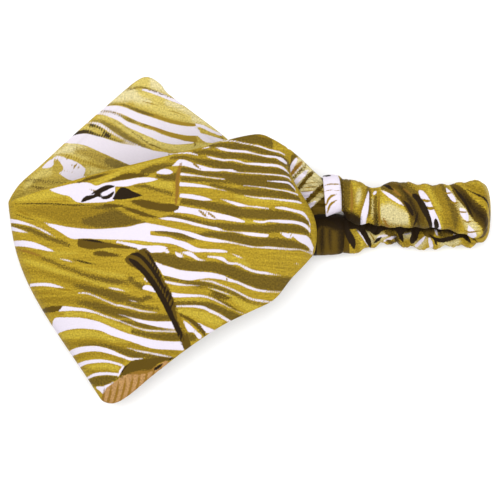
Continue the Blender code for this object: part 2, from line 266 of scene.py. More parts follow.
NEAR["shade"] = [
    Band([(-120, 15.4, 14.4), (-112, 16, 12), (-104, 16.2, 9), (-96, 16, 6), (-88, 15.6, 4),
          (-80, 15.6, 3), (-70, 14, 2.8), (-62.6, 10, 3.6), (-56, 7.4, 4.6)]),
    Band([(-118, -16.8, -18), (-109, -17.4, -19.4), (-103, -18.8, -21.4), (-97, -20.6, -24),
          (-90.5, -22.6, -26.6), (-84, -24.6, -29.2), (-78, -26.8, -31), (-73, -28.2, -32.8),
          (-68, -29.6, -35), (-62, -31.6, -35.4), (-57, -33, -35)]),
    Band([(-111, -28.6, -29.8), (-104, -28.8, -29.4), (-96, -29.6, -30.2)]),
    Band([(-98, -54, -57), (-90, -54.3, -57.6), (-83, -53.5, -56.9), (-75, -54.2, -57.6),
          (-67, -56.3, -60.6), (-60, -58.4, -63.2), (-52, -61, -63.4), (-42, -62.6, -63.4)]),
    Band([(-68, -55, -56.8), (-60, -56.2, -58), (-52, -58.4, -60), (-44, -59, -61.4), (-36, -59.4, -62)]),
    Band([(-91, -62, -64.8), (-84, -60.2, -61.8), (-76, -60.2, -61.6), (-69, -62, -63.6),
          (-64, -63.8, -66)]),
    Band([(-87, -66.8, -68.4), (-80, -69, -70.8), (-72, -69, -70.2)]),
    Band([(-121, -5.4, -7.2), (-115.5, -6.6, -8.8), (-111, -8.1, -10.6), (-106.8, -10.3, -12.4),
          (-101.8, -12.2, -14.4), (-96.8, -15, -16.8), (-93, -16.4, -18.3), (-88, -18.1, -20.2),
          (-84.3, -20, -22), (-79.3, -21.2, -23.6), (-74.3, -22.5, -24.9), (-68, -23.4, -26.2),
          (-61, -25, -26.2)]),
    Band([(-108, -31.3, -34.6), (-101, -31.6, -35), (-92, -32, -35.4), (-84, -32.4, -37),
          (-78, -33.6, -39.6), (-72, -36, -41.6), (-66, -38.4, -43), (-60, -39.8, -43.2),
          (-53.3, -41, -44.3), (-47, -41.4, -44.8), (-39, -41.8, -44.8)]),
]
NEAR["olive"] = [
    Band([(-86, 8.4, 5.8), (-80, 9.6, 3.8), (-74, 11.6, 3.1), (-68, 12.4, 3.3), (-62.6, 9.5, 3.9),
          (-58, 7.6, 4.5), (-53, 5.6, 5.1)]),
    Leaf(2.4, [(-82, 14.2), (-75, 14.2), (-68, 13.4)], 0.4, 0.4),
    Band([(-106.8, -10.8, -12), (-101.8, -12.8, -14.2), (-96.8, -15.2, -16.6), (-93, -16.6, -18.1),
          (-88, -18.3, -20), (-84.3, -20, -21.8), (-79.3, -21.2, -23.4), (-74.3, -22.5, -24.7),
          (-68, -23.4, -26), (-61, -25, -26)]),
    Band([(-90, -25.4, -26.6), (-84, -26, -29), (-78, -27.4, -31), (-73, -28.4, -32.8), (-68, -29.6, -35),
          (-62, -31.6, -35.4), (-57, -33, -35)]),
    Band([(-88, -34, -35.4), (-78, -35, -39), (-72, -36.8, -41.4), (-66, -38.4, -43), (-60, -39.8, -43.2),
          (-53.3, -41, -44.3), (-47, -41.4, -44.8), (-39, -41.8, -44.8)]),
    Band([(-88, -56, -57), (-75, -56, -57.6), (-67, -57.8, -60.6), (-60, -59.6, -63.2),
          (-52, -61.2, -63.4), (-42, -62.6, -63.4)]),
    Band([(-12, 49.6, 48.4), (-7.5, 50.6, 47.8), (-1.3, 51.6, 46.3), (3.8, 51.6, 45.7), (7.5, 50.6, 44.5),
          (12, 48.6, 43.5)]),
    Band([(-20, 47, 44.6), (-13.8, 47, 44.3), (-7.5, 46.8, 42.8), (-1.3, 45.6, 42.4), (5, 44, 40.6),
          (11.3, 42, 39.3), (17.5, 40, 36.8), (21, 36.5, 33.4)]),
    Band([(-29.5, 43.3, 41.5), (-20, 43.4, 40.3), (-13.8, 42, 38.4), (-7.5, 41.2, 38), (-1.3, 40.6, 36.8),
          (5, 39.3, 35.3), (11.3, 38, 35.3), (17.5, 36.5, 34.6), (21, 33.6, 32.6)]),
    Band([(-40.8, 40.4, 39), (-34.5, 40.8, 38.9), (-28.3, 39.2, 37), (-20, 38, 34), (-13.8, 36.8, 32.4),
          (-7.5, 35.6, 30.6), (-1.3, 34.3, 30.3), (5, 33.7, 30), (11.3, 33, 29.6), (17.5, 32.4, 29.3),
          (21, 30, 28.5)]),
    Band([(-56, 33.5, 31), (-50, 36, 31.6), (-44, 36.8, 34), (-39, 37, 35.4)]),
    Band([(-47.6, 31, 29), (-42, 30.6, 27.2), (-36, 32, 27)]),
    Band([(-35, 35, 31.6), (-29, 33.4, 30.6), (-24.5, 31.8, 29.4), (-17, 30.9, 28.1), (-12, 30.5, 27.2),
          (-4, 29.4, 26)]),
    Band([(-35, 29.4, 27), (-25, 28, 25.6), (-12, 26.4, 24.6), (-4, 25.6, 24)]),
    Band([(-12, 29.4, 26.6), (-4, 29.2, 23), (6, 28.8, 22), (15, 28.4, 21.6), (20, 27.6, 22),
          (23.4, 24, 20.4)]),
    Band([(-20, 25.2, 23.4), (-10.6, 22.8, 20.3), (-4.4, 21.5, 18.4), (5, 21.2, 17.4), (12.5, 20.9, 17.1),
          (20, 20.3, 16.8), (26, 18.6, 16.2)]),
    Band([(-35, 17, 14.2), (-28, 16.6, 12.8), (-20, 14.8, 10.9), (-13.8, 13.7, 8.7), (-7.5, 12.4, 6.8),
          (-1.3, 11.2, 6.2), (5, 10.9, 5.9), (11.3, 10.9, 5.6), (17.5, 10.6, 6.2), (23.8, 9.6, 5.9),
          (30.6, 7, 4.2)]),
    Band([(-124, 7.3, 6), (-118.6, 6, 4.2), (-113, 4.6, 2), (-107.4, 2, -0.5), (-103, -0.2, -2.4),
          (-96.8, -2.4, -4.6), (-92, -4.8, -6.4)]),
    Band([(-59.5, 25.2, 24.6), (-54.5, 25.8, 23.8), (-51.4, 25.1, 23), (-45.8, 22.8, 21.2),
          (-39, 20.8, 18.9)]),
    Band([(-44, 8.2, 7.6), (-37, 8.8, 6.6), (-28, 6.6, 4.4), (-20, 4.5, 2), (-10.6, 3.8, 0),
          (-3.8, 3.4, -0.3), (5, 3.1, -1), (10, 3.4, -1.1), (15, 4.1, -0.3), (21.3, 4.1, 0),
          (26.3, 3.8, -0.1), (29.4, 2.2, -0.6), (32, -0.8, -1.8)]),
    Band([(-48, 2.4, 0), (-40, 1.4, -2), (-30, -1.6, -4.6), (-20, -0.3, -3.1), (-15, -0.9, -4.4),
          (-7.5, -1.1, -5.8), (-1.3, -2.8, -7.4), (5, -3.4, -7.8), (15, -3.1, -7.8), (22.5, -3.8, -7.8),
          (29.4, -5.9, -8.2), (32.6, -8.4, -9.6)]),
    Band([(-51, -10.6, -13), (-43.9, -10.6, -16.6), (-39.5, -11.3, -18.1), (-34.5, -13.1, -19.4),
          (-28.3, -14.7, -20.3), (-20, -15.2, -20.5), (-13.8, -15.9, -21.9), (-8.8, -17, -23.5),
          (-3.8, -19.1, -25.4), (1.3, -20.8, -27.2), (6.3, -21.3, -28.8), (11.3, -21.9, -29.1),
          (17.5, -21.9, -29.1), (23.5, -21.9, -25)]),
    Band([(-43.3, -21.9, -24), (-37, -23.8, -25.3), (-29.5, -24.9, -26.9), (-25.8, -25, -28),
          (-20, -25.9, -28.1), (-10.6, -28.8, -30.6), (-5.6, -30.6, -32.6), (-1.3, -33.1, -34.7),
          (3.8, -35, -35.9), (10, -35.4, -36)]),
    Band([(-38, -35, -37.4), (-28, -35, -37.2), (-20, -35.4, -38.8), (-13.8, -37.5, -41.3),
          (-8.8, -39.4, -44.7), (-4, -41.3, -44)]),
    Band([(-66, -44, -45.6), (-59.5, -44.8, -46.8), (-53.3, -46.2, -48.6), (-47, -47.8, -49.4),
          (-40, -48.8, -49.8)]),
    Band([(-60, -25, -26), (-57, -25, -28), (-54.5, -26, -29.2), (-52.6, -27, -28)]),
    Leaf(3.0, [(-61.4, -25), (-60, -23.8), (-58.6, -25)], 0.5, 0.5),
    Leaf(2.6, [(-62, -33.2), (-56, -34.4), (-52.5, -33.4), (-50, -33), (-49.2, -35)], 0.4, 0.3),
    Band([(-63, -35, -36.4), (-56, -36.2, -38.4), (-50, -37.5, -39.4), (-45.5, -38.2, -39.2)]),
    Band([(-83, -73.6, -75.4), (-79, -72.4, -77.4), (-75.9, -72, -77.4), (-72, -72, -76.4),
          (-69, -72.4, -74.8), (-67, -73, -73.6)]),
    Band([(-60, -48.5, -51), (-50, -50.6, -53.4), (-42, -50.8, -54.6), (-34, -50.6, -54.8),
          (-30, -50.6, -55), (-27.2, -52, -54)]),
]
NEAR["peach"] = [
    Band([(-75.4, -79, -88), (-73.4, -77.5, -88), (-70.3, -76, -88), (-67.1, -74, -88),
          (-65.3, -72.2, -86), (-60.9, -71, -84), (-55.9, -69.7, -80), (-50.3, -69.2, -76),
          (-47, -67, -72), (-42, -64, -68)]),
]
NEAR["white"] = [
    Band([(-104, 24.7, 24.5), (-100.5, 25.4, 22.9), (-96.8, 26.3, 21.7), (-93, 27.1, 20.6),
          (-90, 27.6, 18), (-87, 27.9, 17), (-83, 27.6, 16.8), (-79, 25.8, 16.8), (-75, 27, 16.8),
          (-69.6, 27.7, 17.5)]),
    Band([(-72, 27.3, 25.4), (-68, 28, 25), (-62.6, 28.6, 25), (-57, 29.5, 26.4), (-51.4, 29.4, 27),
          (-46.7, 28.3, 28.1)]),
    Band([(-106.8, 7.9, 7.8), (-104, 6.7, 5.6), (-99.9, 5.8, 3.3), (-96.8, 5, 1.4), (-93, 4.2, -1.1),
          (-89.9, 3.7, -2.1), (-84, 2.9, -2.1), (-78, 2.6, -2.6), (-72, 2.7, -3), (-66, 3, -3.3),
          (-61, 3.4, -3.6), (-57.6, 4.2, -3.8), (-53.3, 5.1, -4.4), (-51, 4.9, -4.7)]),
    Band([(-53.3, 5.1, 0.6), (-48.3, 4.2, 0.8), (-43.9, 3.2, 0.6), (-39.5, 2, 0), (-34.5, 0.7, -0.9),
          (-28.3, -1, -3.4), (-22, -3.2, -5.1), (-15.8, -4.3, -5.9), (-10.6, -5.3, -6.2),
          (-4.4, -6.6, -7.3), (0.6, -7.5, -8.3), (5, -7.9, -8.5), (11.3, -7.7, -8.7), (20, -7.8, -8.7),
          (25.6, -7.7, -8.3), (29.4, -8.2, -9), (33, -9.4, -10.4)]),
    Band([(-58, 0.2, -3.6), (-52, -0.8, -4.6), (-48.9, -1.6, -5), (-40.8, -2.8, -5.9), (-37, -4.2, -6.9),
          (-32, -5.6, -9), (-27, -8.2, -10.6), (-22, -9.2, -10.6), (-15, -9.4, -10.9),
          (-11, -10.2, -11)]),
    Band([(-68, -3.9, -5.2), (-65.8, -4.3, -5.3), (-59.5, -5.4, -7.5), (-55.8, -6.2, -8.8),
          (-51.4, -6.8, -10.4), (-47, -6.8, -10.4), (-43.9, -7.2, -10.3), (-41, -8.2, -9)]),
    Leaf(1.4, [(-43.4, -9.6), (-41.6, -10.2), (-40, -10.4)], 0.4, 0.4),
    Leaf(1.8, [(-37.8, -10.2), (-35.6, -12), (-33, -13)], 0.4, 0.4),
    Leaf(1.9, [(-34.4, -10.4), (-29.5, -11.8), (-25.8, -14.2), (-21.6, -14.9)], 0.3, 0.6),
    Band([(-125, 10.2, 8), (-122, 9.4, 7.5), (-116.8, 7.8, 6.4), (-110.5, 5.3, 4.4), (-104.9, 2.5, 1.4),
          (-100, -0.7, -0.9)]),
    Band([(-124, 6, 4), (-121, 4.8, 3.1), (-118.6, 3.9, 2.6), (-113.3, 1.7, 1.6)]),
    Band([(-123, -1.6, -4.2), (-116.8, -1.9, -5), (-111.8, -2.9, -6), (-107.4, -4.7, -7),
          (-103, -6.7, -8), (-100, -8.3, -8.5)]),
    Band([(-48, 31.9, 31.7), (-45.8, 33.2, 31.2), (-43.5, 33.9, 30.8), (-40.8, 33.2, 30.9),
          (-38.9, 31.8, 31.6)]),
    Band([(-39.8, 35.5, 35.3), (-38.2, 36.6, 35.3), (-36.4, 38.6, 35.3), (-33.3, 38.4, 35.1),
          (-29.5, 36.7, 33.8), (-24.5, 34.8, 32), (-20, 33.3, 31.6), (-16.3, 32.7, 31.3),
          (-12.8, 32.3, 31.4), (-8.8, 32.1, 30.7), (-5, 30.4, 30.1)]),
    Band([(-35.4, 31.5, 30), (-31.4, 30.5, 29.4), (-25, 29.2, 28.5), (-18.3, 28, 27.4), (-12, 27, 26.4)]),
    Band([(-35.4, 26.1, 23.9), (-29.5, 25.2, 23.4), (-23.3, 24, 22.7), (-17, 22.2, 21.6),
          (-11, 20.4, 20.1)]),
    Band([(-35.4, 19.9, 17.9), (-29.5, 19.2, 16.9), (-23.3, 17.7, 15.7), (-18.3, 15.8, 15.5)]),
    Band([(-14.7, 16.5, 16.3), (-10, 15.3, 14.1), (-5, 14, 12.4), (-0.6, 12.8, 12.1), (5, 12.3, 11.5),
          (10, 11.7, 11.1)]),
    Band([(13, 12.3, 11.7), (17.5, 12.6, 11.2), (22.5, 11.8, 10.5), (27.5, 10.9, 9.2), (30, 8.6, 6.8),
          (31.6, 5, 4)]),
    Band([(-38.3, 10.4, 10), (-35.8, 13.2, 9.8), (-29.5, 12, 8.9), (-24.5, 11, 7.3), (-18.9, 9.6, 5.8),
          (-13.8, 8.4, 5.5), (-7.5, 6.8, 4.6), (-2, 4.8, 4)]),
    Band([(2, 5.2, 4.4), (6.9, 4.9, 3.9), (10.5, 5.6, 4.6), (17.5, 6, 4.4), (23.8, 5.9, 4.5),
          (28.8, 4.9, 3), (31.5, 2.4, 0.4)]),
    Band([(-46.6, 7.4, 7.2), (-43, 7.6, 6.4), (-39, 7.4, 5.7), (-33, 5.9, 4.5), (-27, 4.1, 2.6),
          (-20, 2.2, 0.9), (-16.3, 1.6, 0), (-11.9, 0, -0.5), (-5.6, -0.6, -1.2), (0.6, -0.9, -2.5),
          (6.3, -1.4, -3), (10, -1.6, -3)]),
    Band([(16, -0.3, -0.9), (18, -0.3, -2.2), (20, -0.6, -2.8), (21.4, -2, -3)]),
    Band([(21, -0.3, -0.9), (23.8, -0.5, -2.8), (26.3, -0.7, -4.4), (29.4, -1, -5.6), (31.3, -2.4, -7.2),
          (33, -5.6, -9)]),
    Band([(-14.4, 48.4, 47.7), (-8.8, 48.2, 47.5), (-3, 46.7, 45.9), (0.6, 46, 45.3), (5, 45, 44.2),
          (10, 43.3, 42.5), (15.6, 42.1, 41.3), (18.4, 40.9, 40.2)]),
    Band([(-17.2, 44.8, 44.4), (-13.8, 44.4, 42.8), (-8.8, 43, 41.7), (-1.3, 42.1, 41), (2.6, 40.9, 40.1),
          (6.9, 39.8, 39.1), (10, 39.6, 38.4), (13.8, 39.3, 38.2), (16.9, 38.7, 36.5),
          (19.4, 36.9, 35.5)]),
    Band([(-22, 40.3, 39.6), (-18.3, 39.2, 38.1), (-12.8, 37.8, 36.8), (-8.8, 37.6, 36.8),
          (-5, 36.8, 35.8), (-1.9, 35.6, 34.8), (1.9, 35.4, 34.2), (5, 35.3, 34), (8.4, 35, 33.5),
          (11.6, 34.9, 33.6), (15, 34.6, 33.2), (18.1, 33.4, 32), (20.6, 31, 30.6)]),
    Band([(-5, 30.4, 30), (0, 30, 29.5), (5, 29.7, 29.2), (12, 29.4, 28.8), (16.9, 29.3, 28.6),
          (20, 28.9, 28.1), (21.4, 27.6, 27)]),
    Band([(9, 25.7, 25.4), (15, 26, 25.2), (20, 26, 24.9), (22.5, 24.4, 23.2), (24, 22.2, 21.5)]),
    Band([(-3, 23.5, 23.1), (5, 22.6, 22.1), (12, 21.9, 21.3), (16.3, 21.5, 20.9), (20, 21.2, 20.5),
          (25, 20.2, 19.4)]),
    Band([(-3.1, 18.3, 17.9), (1.9, 17.4, 16.8), (6.3, 17, 16.2), (11.3, 16.8, 16.1), (17.5, 16.5, 15.6),
          (23.8, 16.5, 15.4), (27, 15.8, 15)]),
    Band([(-40.8, 42.9, 42.2), (-37, 42.6, 42), (-30.8, 42.6, 41.6), (-26.4, 41.2, 40.4)]),
    Band([(-24.6, 44.7, 44.2), (-20, 45.2, 44.4)]),
    Leaf(0.8, [(-9.4, -11.4), (-5, -13), (-1.9, -14.2)], 0.4, 0.4),
    Leaf(0.8, [(22.8, -15), (26.4, -15.2)], 0.4, 0.4),
    Band([(-21, -12.5, -13.3), (-16.3, -12.8, -14), (-13.1, -13.4, -15.3), (-10, -15.6, -16.7),
          (-5.6, -16, -17), (-1.3, -17.8, -19.2), (3.1, -19.4, -20.6), (8.1, -20, -21.2),
          (13.1, -20.8, -21.5), (17, -21.2, -21.5)]),
    Band([(-49, -14.6, -15.4), (-45, -16.3, -19.6), (-43.6, -16.9, -21.8), (-39.5, -18.1, -22.8),
          (-34.5, -19.6, -24.1), (-29.5, -20.2, -24.7), (-24.5, -20.5, -23.9), (-20, -20.8, -23.5),
          (-13.8, -21.9, -24.2), (-10.6, -23.3, -24.9), (-5.6, -24.9, -26.1), (-0.6, -26.8, -28.2),
          (4.4, -28.4, -29.5), (10, -29.1, -30), (18, -29.1, -30)]),
    Band([(-25, -24.6, -25), (-20, -24.7, -25.5), (-16.3, -25.6, -26.6), (-11.9, -27.2, -28),
          (-7.5, -28.8, -29.8), (-3.1, -30.9, -32), (1.3, -32.8, -33.9), (6.3, -33.6, -34.7),
          (11, -34.2, -35.1)]),
    Band([(-43, -24.6, -25.6), (-38.3, -25.6, -26.8), (-33.3, -26.5, -27.4), (-28.3, -27, -27.5),
          (-25, -27.2, -27.5)]),
    Leaf(0.8, [(-21, -28.1), (-12, -30.8), (-8, -32.2)], 0.3, 0.4),
    Band([(-39.6, -30.6, -33), (-34.5, -31.3, -33.1), (-28.3, -31.6, -32.9), (-23.3, -31.9, -32.9),
          (-18.3, -33.3, -34.3), (-12.5, -35.9, -36.8), (-8.8, -37.8, -38.5), (-4.4, -39.8, -40.3),
          (0, -41.2, -41.6)]),
    Band([(-38, -37.2, -37.9), (-28.3, -36.9, -38), (-23.3, -37.3, -38.8), (-20, -38.7, -40.3),
          (-16.3, -40.3, -41.8), (-12.5, -42.3, -43.9), (-8.4, -44.5, -45.6)]),
    Band([(-30, -44.8, -45.2), (-28.8, -45, -45.8), (-25, -45.9, -48.1), (-22, -47.4, -50.4),
          (-18, -48.8, -50.4)]),
    Band([(-33.4, -44.5, -45.6), (-31, -46, -50), (-28.5, -48.2, -50.3), (-26, -50.4, -53.4),
          (-24.6, -51.6, -53.4)]),
    Band([(-114, -24.2, -25.6), (-108, -24.1, -25.6), (-103, -24.5, -26.1), (-99.3, -25.5, -26.8),
          (-94.6, -27.1, -27.4)]),
    Band([(-88, -29.8, -30.2), (-84, -29.8, -30.6), (-80, -31, -31.8), (-74, -33.7, -34.5),
          (-68, -36.2, -37.1), (-65.8, -36.5, -37.4), (-59.5, -38, -38.9), (-53.3, -39.6, -40.4),
          (-46.6, -40.4, -40.8)]),
    Band([(-98.4, -38.5, -39), (-96, -36.5, -38.9), (-90, -37.2, -38.9), (-84, -38.1, -39.5),
          (-78, -40, -40.9), (-73, -41.9, -42.8), (-67, -43.9, -44.7), (-62, -46, -46.7),
          (-56, -48.1, -48.9), (-50, -49.2, -50), (-37, -49.7, -50.5)]),
    Band([(-67.4, -40.8, -41.2), (-62, -42.3, -43), (-56.4, -43.8, -45.3), (-50.1, -44.9, -46.9),
          (-43.9, -45.1, -48.1), (-37.6, -44.9, -48.8)]),
    Band([(-102.4, -46.6, -50.6), (-100.4, -42.4, -50.5), (-94.4, -42.2, -48.7), (-87.8, -42.5, -48),
          (-80.9, -43.8, -48.5), (-75.9, -45.3, -49.5), (-70.9, -47.5, -51.7), (-64, -50.3, -53.9),
          (-57.8, -52.2, -55.9), (-52.1, -53.6, -57.8), (-47.5, -54.4, -58.7), (-41.3, -54.9, -59),
          (-33, -55, -59.4)]),
    Band([(-63, -57.8, -58.1), (-57.8, -59.1, -59.9), (-54, -59.8, -60.7), (-50.6, -60.4, -61.3),
          (-44.4, -61.5, -62.5), (-38.6, -62.9, -63.9)]),
    Band([(-94, -59.4, -62), (-92.1, -58.8, -62), (-89, -57.8, -61), (-85.3, -57.2, -60.1),
          (-80.3, -57, -59.7), (-75.9, -57.6, -60.1), (-70.3, -59.3, -61.5), (-65.3, -61.6, -63.1),
          (-60.3, -63.2, -64.6), (-54.6, -63.3, -64)]),
    Band([(-89, -65.8, -68), (-86.5, -65, -67.2), (-83.4, -64.3, -66.1), (-77.8, -63.8, -65.5),
          (-72.8, -64.4, -65.6), (-69, -65.2, -66.4), (-64.6, -66.7, -67.7)]),
    Leaf(1.5, [(-63.8, -66.8), (-65.9, -70), (-67.4, -73)], 0.5, 0.5),
    Band([(-84, -72.8, -74), (-82.4, -72.1, -73.4), (-80.3, -71.1, -72.6), (-77.1, -70.5, -72),
          (-72.8, -70.5, -71.8), (-68, -71, -72.2), (-66.2, -71.4, -71.8)]),
    Band([(-78.8, -77.6, -78.4), (-77, -77.6, -79.8), (-75, -77.6, -81.4), (-73.6, -76.9, -78.6),
          (-72, -76.4, -77.4), (-69.4, -75.2, -75.7)]),
    Band([(-54.2, -28, -28.9), (-52.8, -26.9, -29.2), (-50, -27.3, -30), (-46.8, -29.4, -30.8)]),
    Leaf(1.0, [(-54.2, -22.6), (-52.8, -24), (-51.4, -25.6)], 0.4, 0.4),
    Leaf(0.9, [(-73, -27.7), (-67, -28.8), (-62.4, -30.1)], 0.3, 0.4),
    Leaf(0.5, [(-62, -34), (-56.4, -35.4)], 0.3, 0.4),
    Leaf(0.8, [(-98, -12), (-94, -13), (-89, -14.6)], 0.3, 0.4),
]
NEAR["vein"] = [
    Leaf(1.3, [(-26.4, 11.4), (-23.4, 8.8), (-20.8, 6.2)]),
    Leaf(1.2, [(-22, 10.2), (-18.6, 7.6), (-15.8, 5.4)]),
    Leaf(1.3, [(-29.4, 37), (-26.4, 34.2), (-24, 31.6)], 0.2, 0.5),
    Leaf(1.2, [(-122, 14.5), (-117.4, 12.6), (-112, 10.2)], 0.3, 0.4),
    Leaf(1.0, [(-84, 24.6), (-78, 22.8), (-73, 23.4)], 0.4, 0.4),
    Leaf(1.0, [(-42.6, -8.8), (-40.6, -8.6), (-39, -9.8)], 0.3, 0.4),
    Leaf(1.0, [(-11.4, -23.2), (-11, -25)], 0.4, 0.4),
    Leaf(0.9, [(-101, -26.8), (-95, -28), (-88, -29.2)], 0.4, 0.4),
    Leaf(0.7, [(-110, -29.6), (-103, -29.4), (-97, -30.4)], 0.4, 0.4),
    Leaf(0.8, [(3, 51), (7.5, 49.8), (10.6, 48.2)], 0.4, 0.4),
]
NEAR["rust"] = [
    Leaf(1.9, [(-34.6, 37.6), (-36, 32.6), (-36.7, 27), (-36.6, 21.4), (-37.2, 15.5),
         (-37.6, 11.6)], 0.2, 0.3),
    Leaf(1.2, [(-121, -6), (-114, -8), (-106, -11)], 0.3, 0.4),
    Leaf(2.0, [(-63, -71.8), (-58, -70.6), (-53, -70), (-49.6, -68.6), (-46.4, -66)]),
]
NEAR["umber"] = [
    Band([(-107.6, -37.4, -39.4), (-104, -36.3, -39.4), (-100, -36.1, -39.2), (-97.6, -36, -38.2),
          (-96.2, -36, -36.5)]),
    Band([(-66.4, -72.2, -73.4), (-65.2, -69.8, -72.8), (-62.8, -66.9, -71.7), (-60.3, -65, -70.6),
          (-55.3, -63.8, -69.5), (-50.6, -63.2, -69.2), (-47.8, -62.8, -66.9), (-44, -62.6, -65),
          (-38, -63, -64)]),
    Band([(-36, -40.4, -41.8), (-32.5, -41.9, -43.8), (-28.8, -43.9, -46.3), (-25, -46.7, -50),
          (-22.4, -50, -53)]),
    Band([(-88, -2.1, -6.1), (-84, -2.3, -7.4), (-80.5, -2.8, -8), (-73, -4.6, -7.6), (-68, -5.6, -7.6),
          (-57, -7.8, -8.7)]),
    Band([(-61.4, 17.1, 16.8), (-56.4, 17.6, 14.2), (-51.4, 17, 12.4), (-45.1, 15.2, 11),
          (-40, 14.7, 10.2), (-36, 13.4, 11.4)]),
    Band([(-75, 16, 14.2), (-70, 15.8, 13.6), (-64, 14.8, 14.2)]),
    Leaf(2.2, [(-66.5, 14.6), (-60, 12), (-52, 9), (-44.8, 7.2)], 0.3, 0.4),
    Band([(-79.6, -9.4, -10.8), (-76, -8.8, -11.8), (-72, -9.6, -12), (-64.4, -11.6, -12.1)]),
    Band([(-21, -31.2, -32), (-15, -32, -33.4), (-10, -33.2, -33.8)]),
    Leaf(1.2, [(-18, -32.9), (-12.5, -35.5), (-7.5, -38.2), (-1.9, -40.7)], 0.3, 0.4),
    Leaf(1.5, [(-21, -29.2), (-12, -32.2), (-8, -33)], 0.3, 0.4),
    Band([(-73, 28.2, 27.9), (-68.3, 30.4, 28.2), (-63.9, 31.9, 28.6), (-60, 32.1, 29.3),
          (-54.6, 31.4, 29.8), (-51, 30.6, 30.2)]),
    Leaf(1.7, [(-90, 27.4), (-84.3, 29.4), (-78, 31), (-71.8, 32.5)], 0.4, 0.3),
    Band([(-63.2, -13, -14.4), (-62, -11.8, -15.8), (-59.5, -10.5, -17.5), (-57, -9.5, -18.7),
          (-54, -8, -21.4), (-52, -8.7, -24.2), (-50, -10.8, -27), (-48, -15, -29.4), (-45, -20.6, -34.1),
          (-43, -24.8, -38), (-41, -27.9, -41.8), (-39, -32.2, -45.4), (-37.4, -36.4, -49.8),
          (-35.5, -41.6, -54), (-33.5, -46, -58.4), (-31.6, -51, -61), (-29.8, -56.6, -61)]),
]
NEAR["dark"] = [
    Band([(-70.1, 18.8, 18), (-68.3, 22, 18), (-65.8, 24.5, 17.9), (-62.6, 23.9, 18.2), (-59.5, 22, 18.6),
          (-54.6, 19.9, 19.6)]),
    Leaf(2.9, [(-80, 19.8), (-77.8, 22.4), (-75, 24), (-72, 25), (-68.8, 25)], 0.3, 0.4),
    Leaf(2.0, [(-77, 19.6), (-74.5, 19.2), (-72, 19.9), (-69.4, 22.4)]),
    Leaf(1.7, [(-84, 19.4), (-80.6, 20.2), (-77.6, 20.6), (-75, 19.6)]),
    Leaf(1.2, [(-81.6, 21.2), (-79, 22.6), (-76.4, 21)]),
    Leaf(2.6, [(-87, 17.2), (-83.4, 19.4), (-79.6, 19.4)], 0.4, 0.4),
    Leaf(0.8, [(-125, 17.6), (-103, 17), (-93, 16), (-78, 15.2)], 0.2, 0.2),
    Leaf(0.7, [(-124.3, 13.6), (-115.5, 9.8), (-107.4, 7.9)]),
    Leaf(1.0, [(-92.8, -12.4), (-88, -13.4), (-83, -14.8), (-76.4, -16.1)], 0.4, 0.4),
    Leaf(0.7, [(-66.4, -72.4), (-64.2, -68.8), (-61, -65.8)], 0.3, 0.4),
    Leaf(1.5, [(-49.4, -69.4), (-46.6, -67.8), (-44.2, -65.8)], 0.3, 0.4),
    Leaf(0.9, [(-42, -65), (-40, -63.6), (-38.4, -62.4)], 0.3, 0.4),
    Leaf(1.3, [(-87, -2.6), (-80, -3.4), (-72, -5.2)], 0.4, 0.4),
]
# The near half's leaf stalk: dark streaks run down it, closest on its left side, with a light one low
# down on its right
NEAR_STALK = [
    Leaf(2.8, [(-62.4, -12.8), (-58, -15.6), (-52.2, -21.4), (-47, -28.6), (-42.4, -36.6), (-38.4, -45.2),
         (-34.8, -55.4)], 0.1, 0.3),
    Leaf(1.9, [(-61, -11), (-56.4, -11.4), (-51.4, -16), (-46.4, -23.2), (-41.8, -31.8),
         (-38.6, -39.6)], 0.1, 0.5),
    Leaf(1.4, [(-54.6, -8), (-51.2, -11.4), (-47.6, -17), (-44, -23.4)], 0.3, 0.4),
    Leaf(1.3, [(-42.6, -27), (-40.2, -32), (-37.8, -38)], 0.4, 0.5),
    Leaf(1.5, [(-39, -41.6), (-36, -48.4), (-33, -55)]),
]
NEAR_STALK_LIGHT = [
    Leaf(1.8, [(-37.4, -38.4), (-34.8, -45.4), (-32.4, -52.4)], 0.4, 0.4),
]

# The far half, whose wrong side is up: the same leaflets show through, a little paler
FAR = {}
FAR["light"] = [
    Band([(-99.4, 46.4, 45.6), (-98, 48.8, 45.2), (-95.5, 50.8, 45), (-93, 51.6, 44.4), (-90, 51, 43.4),
          (-86, 49.6, 42.4), (-82, 48, 43), (-79, 46, 44.6)]),
    Band([(-62, 82, 78.6), (-58, 86, 81), (-55, 88, 80.8), (-51, 87, 79.6), (-48, 83.4, 79)]),
    Band([(-62, 79.6, 77), (-56, 79.4, 75.4), (-50, 77.4, 73.6), (-44, 75, 71.2), (-38, 72.4, 69.4),
          (-32, 69.6, 66)]),
    Band([(-60, 75, 71), (-56, 75.6, 69.8), (-50, 73.8, 67.8), (-44, 71.4, 65.6), (-38, 69.6, 64),
          (-32, 67, 62.4), (-26, 64.6, 61.6), (-18, 60, 57.6), (-12, 56, 54)]),
    Band([(-80, 65.6, 64.6), (-74, 66, 63.4), (-68, 62.6, 59.4), (-60, 58, 54), (-55.6, 55.8, 51.4),
          (-50, 53.4, 49.4), (-44, 51.4, 48), (-36, 50.8, 46.6), (-28, 50.8, 46.6), (-18, 51.6, 47),
          (-8, 54, 50)]),
    Band([(-86, 38.6, 35), (-82, 38.4, 33.4), (-77, 37, 33.6), (-72, 36, 34)]),
    Band([(-92, 59.4, 58.6), (-86, 60.6, 58.6), (-80, 58.6, 57.4), (-76, 57, 56)]),
    Band([(-118, 30, 26), (-114, 33.4, 29.4), (-110, 36.6, 32.4), (-104, 38.4, 34)]),
]
